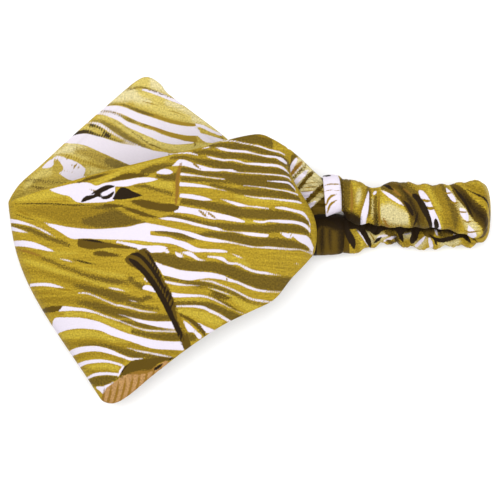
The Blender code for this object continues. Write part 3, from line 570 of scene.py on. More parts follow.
FAR["cream"] = [
    Band([(-104, 46, 45), (-99, 48.4, 45.6), (-95.5, 51, 46), (-91, 50.6, 46.6), (-86, 49, 47)]),
    Band([(-78, 71, 68), (-72, 75, 72.6), (-66, 80, 73.4), (-61, 80, 73.4), (-57, 76, 72.6),
          (-52, 74, 72)]),
    Band([(-52, 88, 80), (-47, 85, 78.6), (-42, 80, 76)]),
    Band([(-44, 74, 71.6), (-36, 72, 68.6), (-28, 67, 64.6)]),
    Band([(-30, 66.4, 62.4), (-24, 64.4, 61.6), (-16, 59.6, 57)]),
]
FAR["shade"] = [
    Band([(-92, 48.6, 46), (-86, 48.6, 43.6), (-80, 47, 41), (-74.3, 44.7, 38.8), (-68, 41.9, 37.4),
          (-60, 39.6, 36.4)]),
]
FAR["olive"] = [
    Band([(-76, 43.6, 40.4), (-71, 42.4, 37.6), (-66, 40.8, 37), (-61, 39.4, 36.6), (-56, 39, 36)]),
    Band([(-82.6, 63.4, 62.8), (-78, 63.5, 61.6), (-74.3, 62, 59), (-70.2, 60, 56.4), (-64.7, 56.2, 52.2),
          (-59.3, 52.8, 49.8), (-55, 50, 48), (-51.6, 48.2, 47.6)]),
    Band([(-120, 31.4, 30.6), (-112, 32, 30.6), (-104, 31, 29.8), (-96, 30.4, 29.6)]),
]
FAR["white"] = [
    Band([(-99, 54, 51.2), (-92, 56, 51), (-88, 56.3, 50.4), (-84.3, 56.1, 49.2), (-79.3, 54.9, 46.9),
          (-74.3, 53.2, 44.7), (-68, 51.2, 41.8), (-62, 49.8, 39.2), (-56, 48.8, 38), (-50, 47, 40),
          (-43, 46.2, 43)]),
    Band([(-109, 38.4, 37.8), (-106, 41.4, 37.9), (-104, 42.4, 38.6), (-102.8, 41, 39.8)]),
    Band([(-103.4, 43.4, 42.9), (-101, 44.5, 42.4), (-99.6, 44.2, 41), (-98, 43.8, 38.6),
          (-96.8, 43.4, 36.8), (-93, 42, 35.6), (-90, 40.6, 34.6), (-86.6, 38, 34.4)]),
    Band([(-99.9, 35.6, 34.8), (-98, 36.4, 33.6), (-95, 35.8, 31.8), (-91, 34.9, 31.2), (-87, 33.6, 32),
          (-83, 33.6, 33)]),
    Band([(-90, 63, 61.4), (-85, 62.6, 61.6), (-80, 62.4, 60.6), (-76, 60.4, 58.4), (-72, 57.6, 55.8),
          (-68, 55, 53.6), (-62, 51.8, 50.8), (-56.4, 49.4, 48.8)]),
    Band([(-82, 69, 66.4), (-77, 67.8, 66.2), (-70, 66.6, 63.6), (-64.7, 63, 60), (-60, 61, 57.8),
          (-55.6, 59.3, 55.8), (-50, 57.6, 53.4), (-46.5, 56, 51.8), (-40, 54, 50.6), (-34, 53, 50.8),
          (-29, 52, 51.2)]),
    Band([(-82, 71, 69), (-76, 71, 68.8), (-70, 71.2, 67.8), (-65, 70, 65.8), (-58, 67, 62.4),
          (-50, 64.3, 59.6), (-42, 61.9, 57.2), (-34, 60.4, 55.6), (-27, 60.2, 55.2)]),
    Band([(-57, 80.2, 79.4), (-49.3, 78.8, 76.8), (-41, 75.4, 73.6), (-34, 72.4, 71)]),
    Band([(-28.6, 61.8, 60.6), (-24, 60.8, 59), (-20, 58.6, 57), (-14, 56, 54.8)]),
    Band([(-27.2, 57, 55.4), (-24, 56.2, 52.4), (-20, 55, 51.4), (-16, 53.8, 52.2), (-12.6, 53, 52.4)]),
]
FAR["vein"] = [
    Band([(-56, 61.6, 59.8), (-52.9, 60.6, 59.2), (-46.5, 58.6, 56.6), (-41, 56.8, 54.6),
          (-33.8, 55.2, 52.4), (-27.6, 55.2, 51.6)]),
    Band([(-56, 68.2, 66.4), (-50, 66.6, 64.6), (-46.5, 65.4, 63.5), (-40.2, 63.5, 61.7),
          (-34, 62.4, 60.6), (-28, 61.4, 60.4)]),
    Band([(-101.4, 45.2, 44.6), (-97, 45.6, 44.6), (-93, 44.4, 43.2), (-88, 42.6, 41.4), (-82, 40.6, 39),
          (-76, 38.6, 37), (-71, 36.8, 36)]),
    Leaf(0.6, [(-58.6, 73.7), (-52, 72.2), (-46, 70.4)], 0.3, 0.4),
    Leaf(0.5, [(-44, 69), (-38, 67.4), (-32, 65)], 0.3, 0.4),
    Leaf(0.9, [(-85.4, 37.8), (-83.4, 35.8), (-81.6, 34)], 0.4, 0.4),
    Leaf(1.0, [(-97, 43.6), (-95.6, 42.2)], 0.4, 0.4),
    Leaf(1.3, [(-94.6, 39.6), (-92.8, 39.2), (-91, 37.2)], 0.4, 0.4),
    Leaf(0.9, [(-91.8, 40.6), (-90.2, 39.2), (-89.2, 37.4)], 0.4, 0.4),
    Leaf(0.5, [(-97, 37), (-94, 36), (-91, 34.2)], 0.4, 0.4),
]
FAR["rust"] = [
    Leaf(1.0, [(-54, 60.2), (-48, 58.4), (-43, 56.4)], 0.4, 0.4),
    Leaf(0.8, [(-118, 26), (-110, 26.4), (-102, 28)], 0.4, 0.4),
]
FAR["dark"] = [
    Band([(-95, 56.6, 54.6), (-90.4, 57.6, 55.8), (-87.4, 58.3, 56.3), (-84.3, 58, 56.1),
          (-80.5, 56.5, 54.9), (-76, 55.1, 53.9), (-71.8, 53.9, 52.6), (-68, 52.7, 51.4),
          (-63.6, 50.8, 50.2)]),
    Band([(-85.4, 61.2, 60.6), (-83.4, 61.6, 59.8), (-81, 61.2, 59.6), (-78, 59.6, 58),
          (-75.6, 57.6, 55.2), (-72.6, 55.8, 54.8)]),
]
FAR["umber"] = [
    Leaf(1.1, [(-77, 65.7), (-68.4, 61.8), (-59.3, 55.5), (-52.9, 50.9), (-44.7, 47.7),
         (-40, 46.8)], 0.4, 0.4),
    Band([(-82, 69.4, 68.2), (-78.4, 68.6, 67.8), (-74, 68.7, 67.6), (-70, 67.3, 66.2),
          (-65.6, 65.3, 63.8), (-62.9, 64.3, 62.4), (-58, 62, 61), (-53, 60.4, 59.8)]),
    Band([(-78, 72.4, 71.2), (-73.6, 72.2, 71.2), (-70, 72.6, 71.6), (-66, 72.2, 70.8), (-62, 70.7, 69),
          (-58, 69.1, 67.2), (-54, 67.6, 66), (-50, 66, 65.2)]),
    Leaf(1.0, [(-66, 79), (-62, 80.2), (-58.4, 80.8), (-53.8, 80), (-46.5, 77.3), (-40, 75)], 0.1, 0.6),
    Leaf(0.8, [(-27.5, 55), (-28.4, 50.9), (-29.7, 48)]),
    Leaf(1.3, [(-115, 28.2), (-111, 27.6), (-106, 27.3)], 0.3, 0.4),
    Leaf(0.7, [(-15.6, 55.4), (-13, 53)], 0.4, 0.4),
    # Painted shadow: a thin dark line on the far half just beyond the near half's crown hem, which stands
    # over it
    Band([(-94, 30.8, 30.2), (-88, 31.9, 31), (-82, 34, 32.4), (-76, 35.6, 34), (-70, 36.4, 35.4)]),
]

# The gathered near end of the panel, between the tuck and the cuff
CONE = {}
CONE["light"] = [
    Band([(20, 34, 27), (24, 37, 22), (28, 41, 22), (33, 36, 22.6), (38, 33, 23.6)]),
    Leaf(3.4, [(28, 12.6), (33, 16), (39, 21.4)], 0.2, 0.2),
    Leaf(0.9, [(31.9, 9.2), (35, 9.8), (39, 10.6)]),
]
CONE["cream"] = [
    Band([(20, 36, 27), (24, 39, 23), (28, 41, 22.6), (33, 36, 23), (38, 33, 24)]),
    Leaf(4.0, [(28, 13), (33, 16.4), (39, 21.8)], 0.2, 0.2),
]
CONE["olive"] = [
    Leaf(2.8, [(19.4, 33.6), (21.9, 38.4), (24.8, 42.4)], 0.1, 0.2),
    Leaf(1.4, [(21.2, 28), (25.4, 32.6), (30.4, 37)], 0.1, 0.2),
]
CONE["white"] = [
    Leaf(2.0, [(20.6, 31.6), (22.8, 36.6), (25.6, 40.6)]),
    Leaf(0.8, [(21.4, 29.6), (25, 33.8), (29, 37)]),
    Leaf(2.4, [(22, 25.6), (26, 29.6), (31, 34.4)]),
    Band([(23, 21.6, 20.6), (25, 22.6, 18.8), (28, 23.2, 17.4), (31, 23, 20), (35, 23.4, 22.6)]),
    Leaf(2.2, [(28, 13.6), (31, 15.2), (35, 18.4)], 0.3, 0.4),
]
CONE["vein"] = [
    Leaf(0.5, [(27, 27), (33, 27.4), (39, 28)]),
    Leaf(0.6, [(27, 24.8), (33, 25.4), (38, 26)]),
    Leaf(0.5, [(26, 23), (30, 23.2), (34, 23.6)]),
]
CONE["rust"] = [
    Leaf(1.9, [(20.9, 30.4), (24.2, 34.8), (28, 38.4)], 0.2, 0.2),
]
CONE["umber"] = [
    Leaf(2.1, [(23.4, 22.4), (27.5, 26.8), (30.4, 30.4), (34.4, 33.8)], 0.1, 0.2),
    Leaf(2.4, [(27, 15.6), (33.4, 21.4), (39.6, 27.4)], 0.1, 0.2),
    Band([(29.6, 12.4, 9), (32.4, 15, 9.2), (35.6, 17.6, 10.4), (39, 20.6, 11.6), (43, 22, 12)]),
]
# Painted shade: the band along the cone's lower side, where it meets the dark under the casing, and the
# short streak at the join with the cuff
CONE["dark"] = [
    Band([(30, 9.4, 2), (33, 9, 0), (36, 9.4, 0), (40, 10.2, 2)]),
    Leaf(1.6, [(37.2, 31), (39, 28), (40.4, 24)]),
]

# The casing's near strand, in its own plan: the cuff, the puffs and the diagonal leaflets, then those
# at the turn
STRAND = {}
STRAND["light"] = [
    Leaf(2.4, [(54.4, 28), (54, 22), (53.6, 15)]),
    Leaf(5.0, [(58.4, 27), (57.6, 21), (56.4, 13)]),
    Leaf(3.0, [(63.4, 22), (63, 16), (63.4, 9)], 0.3, 0.2),
    Leaf(3.4, [(67.6, 27), (70, 23.6), (73, 20.6)]),
    Band([(68, 19, 2), (70, 20, 1), (75, 17, 1), (80, 14, 1), (83.6, 10.6, 1), (84.4, 6, 2)]),
    Leaf(5.0, [(92, 27), (96, 20), (99, 12)], 0.2, 0.2),
    Leaf(1.6, [(96.4, 11), (98.6, 7), (99.4, 2)], 0.3, 0.2),
    Leaf(6.6, [(101, 29), (106, 19.6), (112, 9.6), (117, -1)], 0.1, 0.1),
]
STRAND["cream"] = [
    # Painted highlight: the pale, speckled sheen on the large puff
    Band([(69, 15, 5), (73, 16, 4), (77, 13.6, 4.6), (82, 11, 5)]),
    Leaf(2.4, [(63.6, 19), (64, 14), (65, 8)], 0.4, 0.3),
    Leaf(2.6, [(57.4, 24), (56.4, 20), (55.4, 16)], 0.4, 0.3),
    Leaf(4.6, [(103, 23), (108, 14.6), (113, 6), (116, 0)], 0.3, 0.2),
]
STRAND["shade"] = [
    Leaf(3.2, [(57.4, 27), (59.6, 20), (57, 11), (57.4, 5)]),
    Band([(68, 8.6, 1), (74, 5.6, 1), (80, 5, 1), (85, 4.4, 1)]),
    Leaf(3.0, [(83.6, 26), (88, 20), (92, 15)]),
    Leaf(8.4, [(95.6, 29), (100, 20.4), (104, 12), (105, 2)], 0.1, 0.1),
    Leaf(3.6, [(52.6, 25), (53, 18), (52.4, 10)]),
    Leaf(3.4, [(111, 27), (117, 22), (120, 15)]),
    Leaf(3.0, [(118.6, 10), (120, 4), (119, -2)]),
]
# Mostly painted shade: the first puff's lower side, the groove at the collar seam and the crease at the
# waist. The streak by the large puff and the one across the turn are dark print.
STRAND["painted_shade_and_print"] = [
    Band([(48.4, 14, 1), (51, 12.6, 1), (54, 11.6, 1), (57.4, 9.4, 1)]),
    Band([(47.6, 30, 24), (48.6, 22, 2), (49.4, 12, 2)]),
    Leaf(2.2, [(77, 26), (82, 19), (86, 10), (88, 3)]),
    Leaf(1.6, [(66, 12), (66, 7), (66.6, 2)]),
    Leaf(2.8, [(108, 23.4), (113, 16.4), (117.4, 9), (120, 2)]),
]
STRAND["olive"] = [
    Leaf(5.4, [(50, 30), (49.4, 20), (49.4, 12)], 0.1, 0.2),
    Leaf(3.0, [(61.6, 26), (61.6, 19), (61.4, 9)], 0.2, 0.2),
    Leaf(2.4, [(65.4, 22), (65, 13), (65.6, 2)], 0.2, 0.2),
    Band([(69, 29, 24), (73, 29, 20.4), (77.9, 29, 17.6), (81.4, 27.6, 12.6), (84.3, 24.6, 2),
          (88, 20.4, 1), (91.4, 13, 1), (94.6, 6, 0)]),
    Leaf(3.4, [(98.6, 28), (102.4, 20), (105.6, 11), (106.4, 3)], 0.3, 0.2),
]
STRAND["white"] = [
    Band([(39.4, 36, 4), (40, 36, 4), (44, 36, 4), (46.6, 30, 4), (47.6, 22, 8)]),
    Leaf(3.2, [(61.6, 23), (60.4, 16), (58.8, 8), (58.6, 2)], 0.5, 0.02),
    Leaf(1.4, [(65.6, 23), (64.2, 21)]),
    Leaf(1.9, [(69, 23.2), (72.9, 19.9), (77.9, 16.2), (80.8, 14.6)], 0.3, 0.4),
    Band([(87.4, 23, 21.4), (89.4, 22.8, 16.6), (91.8, 20, 11.6), (94, 15.4, 6.2), (95.4, 12.4, 3),
          (97.6, 8, 2), (99, 4, 2)]),
    Leaf(2.6, [(101.6, 24.4), (103.6, 20.6), (106.6, 16.4)], 0.4, 0.3),
    Leaf(3.4, [(108.4, 14), (110.6, 10.4), (112.4, 6.4)], 0.4, 0.4),
    Leaf(3.0, [(112.6, 5), (114.4, 1), (116, -3)], 0.4, 0.4),
]
STRAND["vein"] = [
    Leaf(1.2, [(39.2, 14.6), (41.6, 19.2), (45.4, 21)]),
    Leaf(1.1, [(39.6, 11), (41.6, 15.4), (45, 18)]),
    Leaf(0.7, [(39, 25.2), (42.6, 26.2), (47.4, 26)]),
    Leaf(0.5, [(39, 22.4), (43, 23), (47, 22.6)]),
    Leaf(1.4, [(88.6, 18.6), (91, 17.4), (93.6, 17.4)]),
    Leaf(1.6, [(90.4, 14.4), (93, 13.4), (95.8, 13.8)]),
    Leaf(0.9, [(99.6, 22), (102, 21.4), (105, 22)]),
    Leaf(1.0, [(102.6, 17.4), (106, 16.4), (108.6, 17)]),
    Leaf(0.9, [(106.8, 12.6), (109.6, 11.6), (112.6, 12)]),
    Leaf(0.8, [(109, 7.6), (112, 6.6), (115, 7.2)]),
    Leaf(0.8, [(110.6, 2.4), (114, 1.6), (117.4, 2.4)]),
]
STRAND["rust"] = [
    Leaf(1.5, [(67.6, 21), (67.4, 13), (68, 3)], 0.2, 0.3),
    Leaf(1.4, [(72, 26), (76, 21.6), (80, 18.6)], 0.4, 0.4),
    Leaf(1.2, [(75, 27), (80, 23.4), (85, 19)], 0.4, 0.4),
    Leaf(1.2, [(69.6, 9), (71.4, 5), (73, 2)]),
    Leaf(1.2, [(52.6, 27), (53, 18), (52.6, 9)], 0.3, 0.2),
]
STRAND["umber"] = [
    Band([(78, 20, 17.6), (81, 19, 12.6), (84, 18.6, 8), (87, 16.4, 7), (90, 13, 6)]),
    Leaf(2.4, [(71, 27.4), (76, 25), (80.6, 24.4)], 0.4, 0.3),
]
STRAND["dark"] = [
    Leaf(1.8, [(37.6, 31.2), (40, 31.4), (43, 30.8)], 0.3, 0.4),
    Leaf(1.8, [(69.4, 26.6), (72, 25), (75, 22.6)], 0.4, 0.5),
    Leaf(2.0, [(79, 18), (82, 14.4), (84.6, 9)], 0.4, 0.3),
    Band([(84, 21, 19.4), (86.4, 21, 16.6), (88.6, 18.8, 12.4), (91, 15.4, 8.4), (93.2, 9.8, 4),
          (94.4, 5.6, 3)]),
    Leaf(2.4, [(96, 8.6), (96.4, 6), (97.4, 3.4)], 0.4, 0.3),
    Leaf(1.2, [(84.6, 4), (86, 8), (87, 12)], 0.4, 0.4),
]
TURN = {}
TURN["light"] = [
    # Painted highlight: a light streak down the rounded end of the turn
    Leaf(3.0, [(118, 28), (125, 18), (128, 8), (129, -2)], 0.3, 0.1),
]
TURN["white"] = [
    Leaf(1.2, [(126, 24), (129, 14), (130, 4)], 0.3, 0.2),
]
TURN["umber"] = [
    Band([(104, 27, 25.4), (106.4, 26.6, 19.6), (109.6, 24.6, 15.2), (113, 21, 10.4), (116.4, 16, 5.2),
          (119, 11, 0), (121.6, 4, -4)]),
]
TURN["dark"] = [
    Leaf(1.1, [(111, 24.4), (117, 20), (121.6, 13), (124, 5)], 0.4, 0.3),
    Leaf(1.6, [(105, 25.6), (110, 18), (115, 8.6)]),
]

# The casing's far strand
BACK = {}
BACK["light"] = [
    Leaf(4.0, [(54.6, 3), (56.6, -1), (59, -6)], 0.2, 0.2),
    Leaf(3.0, [(61, 4.4), (63.6, 1), (66.6, -1.6)], 0.1, 0.2),
    Leaf(2.6, [(64.4, -2.6), (68, -0.8), (71, 0.4)], 0.2, 0.2),
    Leaf(2.2, [(98.4, -2.4), (104, -2.6), (111, -2.2)], 0.2, 0.2),
    Leaf(1.4, [(81, 4), (84, 4.2)], 0.2, 0.2),
]
BACK["cream"] = [
    Leaf(3.8, [(64.6, -1.2), (68.6, 0.6), (72.6, 0.8)], 0.2, 0.3),
    Leaf(3.0, [(79.6, 0.6), (82.6, 1.2), (85, 1.6)], 0.2, 0.2),
    Leaf(3.0, [(60.8, 3.6), (63.4, 0.6), (66, -2.6)], 0.2, 0.2),
    Leaf(4.2, [(92.4, 1.4), (90.4, -1.2), (87.4, -4.4)], 0.4, 0.1),
    Leaf(3.2, [(99.4, -3.4), (104, -2.6), (110, -2)], 0.2, 0.2),
]
BACK["shade"] = [
    Leaf(5.0, [(72.6, 5), (76, 2), (78.4, -2)], 0.2, 0.2),
    Leaf(4.6, [(88.6, 5), (90, 2), (89, -1)], 0.2, 0.2),
    Leaf(5.0, [(100, 5), (103, 2), (106, 0)], 0.2, 0.2),
    Leaf(3.4, [(112, 4), (114, 0)], 0.2, 0.2),
    Leaf(4.0, [(53, 3), (55, -2), (57, -7)], 0.2, 0.2),
    Leaf(3.0, [(82, -2), (84, -6)], 0.2, 0.2),
]
BACK["olive"] = [
    Leaf(3.2, [(70.6, 3.4), (74, 2.2), (78, -1)], 0.2, 0.2),
    Leaf(4.4, [(98.6, 6), (101, 3), (104.6, 0.4)], 0.1, 0.2),
    Leaf(2.0, [(109, 5), (111, 2.4), (112.4, 1)]),
]
BACK["white"] = [
    Leaf(0.8, [(48, 7.4), (49.8, 3.6), (52.4, 0)]),
    Leaf(1.0, [(55.6, 4.8), (59, 0.6), (62, -4)]),
    Leaf(1.3, [(66.4, -0.2), (69.6, 1), (72.4, 1.2)]),
    Leaf(1.5, [(70, -1.6), (73.4, -0.4), (77, 0.6)]),
    Leaf(0.7, [(79, 6), (79.3, 4.8), (79.6, 3.4)]),
    Leaf(0.9, [(80.4, 1.6), (84.4, 2.3)]),
    Leaf(1.7, [(92.2, 1.2), (90.2, -1.2), (87, -4.4)], 0.5, 0.1),
    Leaf(2.0, [(93.6, 0.6), (94.4, -2), (95.6, -5.4)], 0.4, 0.2),
    Leaf(1.2, [(96.6, 6.4), (97.4, 3.4), (98.4, 0.6)], 0.3, 0.4),
    Leaf(1.1, [(106, 4.8), (106.6, 2.6), (107.2, 0.6)]),
]
BACK["vein"] = [
    Leaf(0.7, [(62.4, 3), (64.4, 0.4), (66, -2.6)]),
    Leaf(0.6, [(101.4, 5.6), (102.6, 2.6), (104.6, 0.8)]),
]
BACK["umber"] = [
    # Painted shade over print: the far cuff's whole face is darkened to umber, where it lies in shade
    # beside and under the near cuff
    Band([(28, 14, -12), (40, 14, -12), (50, 14, -12), (52.4, 14, -12)]),
    Leaf(6.0, [(90, 7), (92.6, 4.4), (94.4, 1.8)], 0.1, 0.2),
    Leaf(1.6, [(72, 5.6), (75, 4.6), (78, 5)]),
    Leaf(1.4, [(100, 6.4), (104, 5), (108, 5)]),
    Leaf(2.6, [(101, 3.2), (106, 3), (111, 3)]),
    Leaf(1.8, [(71, -1), (74.6, -2.4), (78, -4.4)]),
]
# Painted shade: a soft darkening below the far strand's dark top edge, the far cuff's dark top, the
# shadows in its folds, and two creases further along
BACK["painted_shade_and_print"] = [
    Band([(56, 14, 3.4), (64, 14, 2.6), (72, 14, 3.6), (80, 14, 2), (88, 14, 2.8), (96, 14, 3.4),
          (104, 14, 2.4), (112, 10, 1)]),
    Band([(28, 14, 3), (34, 14, 2), (38, 14, 5.4), (46, 14, 3), (50, 14, 0)]),
    Leaf(2.4, [(38.6, 8), (38, 0), (38, -9)]),
    Leaf(1.4, [(43, 8), (42, 2), (42.6, -6)], 0.4, 0.4),
    Leaf(3.0, [(47, 8), (47.6, 0), (47.6, -10)]),
    Leaf(2.0, [(76, 2), (77, -2), (79, -5)]),
    Leaf(1.6, [(98.4, 5), (99.6, 2), (100.6, -0.6)]),
]
# Painted shade for the most part: the band along the far strand's top, where the near strand overhangs
# it, the far cuff's left side, and the dark in the valleys between the pleats. The long streak towards
# the turn is print.
BACK["dark"] = [
    Band([(30, 14, 9), (38, 14, 9.6), (44, 14, 8), (47, 14, 4.6), (50, 14, 4), (54, 14, 4.4),
          (58, 14, 4.4), (62, 14, 4), (65, 14, 1.6), (67.4, 14, 1.6), (69, 14, 3.4), (72, 14, 4.4),
          (76, 14, 4), (78, 14, 1.4), (80, 14, 1.6), (82, 14, 3.8), (84, 14, 3.6), (85.4, 14, -1),
          (87.6, 14, -1), (89.4, 14, 4.4), (92, 14, 5), (95, 14, 4.6), (97, 14, 5.4), (99, 14, 2.8),
          (102, 14, 4), (105, 14, 2.6), (108, 14, 2.2), (112, 10, 1), (115, 3, -1), (118, 0, -3)]),
    Band([(28, 14, -12), (31, 14, -12), (34.4, 9, -12), (35, 6, -10)]),
    Leaf(3.4, [(49.4, 8), (51.6, 3), (54, -2), (55, -6)], 0.1, 0.3),
    Leaf(3.0, [(57.4, 6), (60, 2), (62.6, -2.4), (63.6, -5)], 0.1, 0.3),
    Leaf(1.6, [(65, -2.6), (67, -1.2), (69, 0.4)], 0.3, 0.4),
    Leaf(2.2, [(78.8, 7), (78.8, 2.4), (80.6, -2.4)], 0.1, 0.3),
    Leaf(3.4, [(87, 7), (86.4, 2), (84.4, -3)], 0.1, 0.2),
    Leaf(2.3, [(93, 2.2), (96.7, -0.3), (100.4, -1.4), (107, 0.3), (111.6, 1), (114.4, -1), (117, -3)]),
    Leaf(1.0, [(98.2, -4), (97, -1.6), (96.6, 0)], 0.3, 0.4),
]

# The ribs of the peach leaf: the x where they start and end, their pitch and width, their path from a
# place on the leaf's upper edge, and that edge as places along it
RIBS_FROM = -77.0
RIBS_TO = -42.0
RIB_PITCH = 3.7
RIB_WIDE = 1.3
RIB_PATH = [(2.6, 1), (1.6, -5), (-1.0, -13)]
PEACH_EDGE_X = [-79, -60, -42]
PEACH_EDGE_Y = [-80, -71.5, -63.5]

# A loose family of leaflets for the parts that only show from behind and below: how far apart its
# rows are, how they slope and bow, the ranges that each leaflet's place and length come from, its
# head and tail, the widest and narrowest of each ink, and the corners of the plan that they fill
FAMILY_PITCH = 6.5
FAMILY_SLOPE = -0.16
FAMILY_BOW = 5.0
FAMILY_SEED = 12
FAMILY_STAGGER = 25
FAMILY_LONG = (35, 75)
FAMILY_SHAKE = 1.2
FAMILY_STEP = (0.8, 1.1)
FAMILY_TIP = 0.4
FAMILY_WHITE = (2.6, 1.0)
FAMILY_OLIVE = (4.6, 2.4)
FAMILY_FIELD = ((-128, -90), (45, 50))

# Where the near half covers the far half: below a line through a point at a slope, or past an x
COVER_POINT = (-80, 26)
COVER_SLOPE = 0.3
COVER_FROM = -8

# Leaves across the far strand's crown side: their pitch, their path from its x, and for each ink the
# first x, the last x and the width
CROSSING_PITCH = 12.5
CROSSING_PATH = [(0, 22), (2.4, 16), (5.4, 10)]
CROSSING_OLIVE = (50.0, 118.0, 5.4)
CROSSING_WHITE = (55.5, 116.0, 2.4)

# Where the casing's turn starts on the plan
TURN_FROM = 117.0

# How far from a stroke's edge its field is kept, and the power by which a leaf narrows to its tips
REACH = 4.0
TIP_POWER = 0.7

# The inks, in the order in which they lie over the ground, and their colours as seen on the cloth,
# red, green and blue out of 255
INKS = (
    "light", "cream", "shade", "olive", "peach", "white", "vein", "rust", "umber", "painted_shade_and_print", "dark",
)
COLOURS = {
    "ground": (179, 151, 40),
    "ground_deep": (164, 136, 34),
    "light": (190, 166, 54),
    "cream": (207, 194, 140),
    "shade": (144, 117, 26),
    "olive": (108, 87, 24),
    "peach": (180, 138, 86),
    "white": (227, 219, 232),
    "vein": (144, 114, 22),
    "rust": (142, 104, 34),
    "umber": (92, 71, 14),
    # This ink is mostly painted shade, in the casing's creases, seams and the gaps between its strands,
    # and partly the dark streaks of its print
    "painted_shade_and_print": (40, 27, 4),
    "dark": (36, 24, 8),
}
# The sewing thread's colours: darker in the grooves of its twist, as painted shade, and lighter on its
# ridges
THREAD_COLOURS = ((112, 92, 30), (142, 120, 46))

# The wrong side's inks go towards this colour, each by its share. An ink's edge fades over its
# softness to each side, and fine noise moves it by up to a fifth or so of its stipple, both in mm.
WRONG_SIDE = (236, 222, 168)
WRONG_SHARE = 0.12
WRONG_SHARES = {
    "ground": 0.24,
    "ground_deep": 0.22,
    "light": 0.42,
    "cream": 0.4,
    "shade": 0.24,
    "olive": 0.16,
    "white": 0.06,
}
SOFT_EDGE = 0.2
SOFT_EDGES = {"light": 1.1, "cream": 1.6, "shade": 1.6, "olive": 0.4, "rust": 0.35, "painted_shade_and_print": 1.6}
STIPPLE = 1.0
STIPPLES = {
    "light": 6.0, "cream": 7.0, "shade": 9.0, "olive": 6.0, "rust": 2.0, "umber": 3.0, "painted_shade_and_print": 4.0,
}

# The studio light is bright enough to whiten the floor, so the cloth reflects less than it shows
REFLECTS = 0.78

# Noise: its scale, detail and roughness. What it gives lies mostly from NOISE_LOW to NOISE_HIGH.
Noise = namedtuple("Noise", "scale detail roughness")
STREAKS = Noise(1.0, 3.0, 0.5)
GRAIN = Noise(1.15, 3.0, 0.75)
BLEED = Noise(1.5, 3.0, 0.65)
CREPE = Noise(1.6, 3.0, 0.6)
NOISE_LOW = 0.3
NOISE_HIGH = 0.7
NOISE_MIDDLE = 0.5
STREAK_STRETCH = (0.05, 0.9, 1)

# How the noise moves the colours: the streaks' values over which the ground turns from deep to plain,
# how much darker and lighter the streaks make it, how strong the light specks are for the dark ones,
# and what the grain does to every ink
GROUND_TURNS = (0.35, 0.65)
STREAK_SWING = (0.93, 1.05)
LIGHT_SPECKS = 0.85
TOP_SWING = (0.95, 1.03)

# A satin: the streaks' turn on the plan in degrees, and the strength of its grain
Satin = namedtuple("Satin", "name roughness turn stipple")
PANEL_SATIN = Satin("printed_satin", 0.5, 8.0, 0.42)
CASING_SATIN = Satin("casing_satin", 0.48, 55.0, 0.46)
ROUGH_LESS = 0.08
ROUGH_MORE = 0.1

# The weave's radians for each mm, its height beside the crepe's, and how strongly both show. The
# thread's bands, and how strongly they show
WEAVE_STRETCH = (14.0, 14.0, 1.0)
WEAVE_HEIGHT = 0.25
CLOTH_BUMP = {"Strength": 0.55, "Distance": 0.0002}
THREAD_BANDS = {"Scale": 900.0, "Distortion": 1.5}
THREAD_BUMP = {"Strength": 0.4, "Distance": 0.00004}

# The room: half the floor's side in metres, and the lights in metres and watts
FLOOR_HALF = 3.0
FLOOR_COLOUR = (0.9, 0.9, 0.9, 1)
Light = namedtuple("Light", "name place size power")
LIGHTS = [
    Light("key_light", (-0.4, 0.45, 1.35), 1.6, 20.0),
    Light("fill_light", (0.7, -0.7, 1.3), 1.8, 18.0),
]
WORLD_STRENGTH = 0.7

# The view: where the camera looks, how far off it is, its height above the floor in degrees, and the
# field across the picture
LOOK_AT = (0.5, -6.6, 12.0)
DISTANCE = 1100.0
ELEVATION = 84.0
PICTURE = 260.0
SENSOR = 36.0


def cubic(t, span, start, leave, end, reach):
    """A cubic from start to end, whose slopes there are leave and reach, at the share t of span."""
    return (
        (2 * t**3 - 3 * t**2 + 1) * start
        + (t**3 - 2 * t**2 + t) * span * leave
        + (3 * t**2 - 2 * t**3) * end
        + (t**3 - t**2) * span * reach
    )


def rows_at(rows, places, shares):
    """The table's numbers at each share of the way along.

    A cubic through every row, from the rows before and after. A row's knot is the running sum of the
    square roots of the steps between the rows, measured over their first columns, as many as places,
    and scaled to end at 1.
    """
    values = np.array([row[1:] for row in rows], float)
    knots = knots_of(rows, places)
    last = len(knots) - 1
    i = np.clip(np.searchsorted(knots, shares) - 1, 0, last - 1)
    before, after = np.maximum(i - 1, 0), np.minimum(i + 2, last)
    span = (knots[i + 1] - knots[i])[:, None]
    t = (shares - knots[i])[:, None] / span
    leave = (values[i + 1] - values[before]) / (knots[i + 1] - knots[before])[:, None]
    reach = (values[after] - values[i]) / (knots[after] - knots[i])[:, None]
    return cubic(t, span, values[i], leave, values[i + 1], reach)


def knots_of(rows, places):
    """The share of the way along at which each row lies, as rows_at says."""
    values = np.array([row[1:] for row in rows], float)[:, :places]
    steps = np.sqrt(np.linalg.norm(np.diff(values, axis=0), axis=1))
    knots = np.concatenate([[0.0], np.cumsum(steps)])
    return knots / knots[-1]


def share_of(rows, places, name):
    """The share of the way along at which the first row of that name lies."""
    return knots_of(rows, places)[[row.name for row in rows].index(name)]


def ease(low, high, value):
    """A smooth step from 0 at low to 1 at high: 3 t squared less 2 t cubed."""
    t = np.clip((value - low) / (high - low), 0, 1)
    return t * t * (3 - 2 * t)


def unit(vectors):
    """The vectors, each over its own length."""
    return vectors / np.maximum(np.linalg.norm(vectors, axis=-1, keepdims=True), TINY)


def running_length(points):
    """The way along a line of points to each of them: the running sum of the steps between them."""
    steps = np.linalg.norm(np.diff(points, axis=0), axis=1)
    return np.concatenate([[0.0], np.cumsum(steps)])


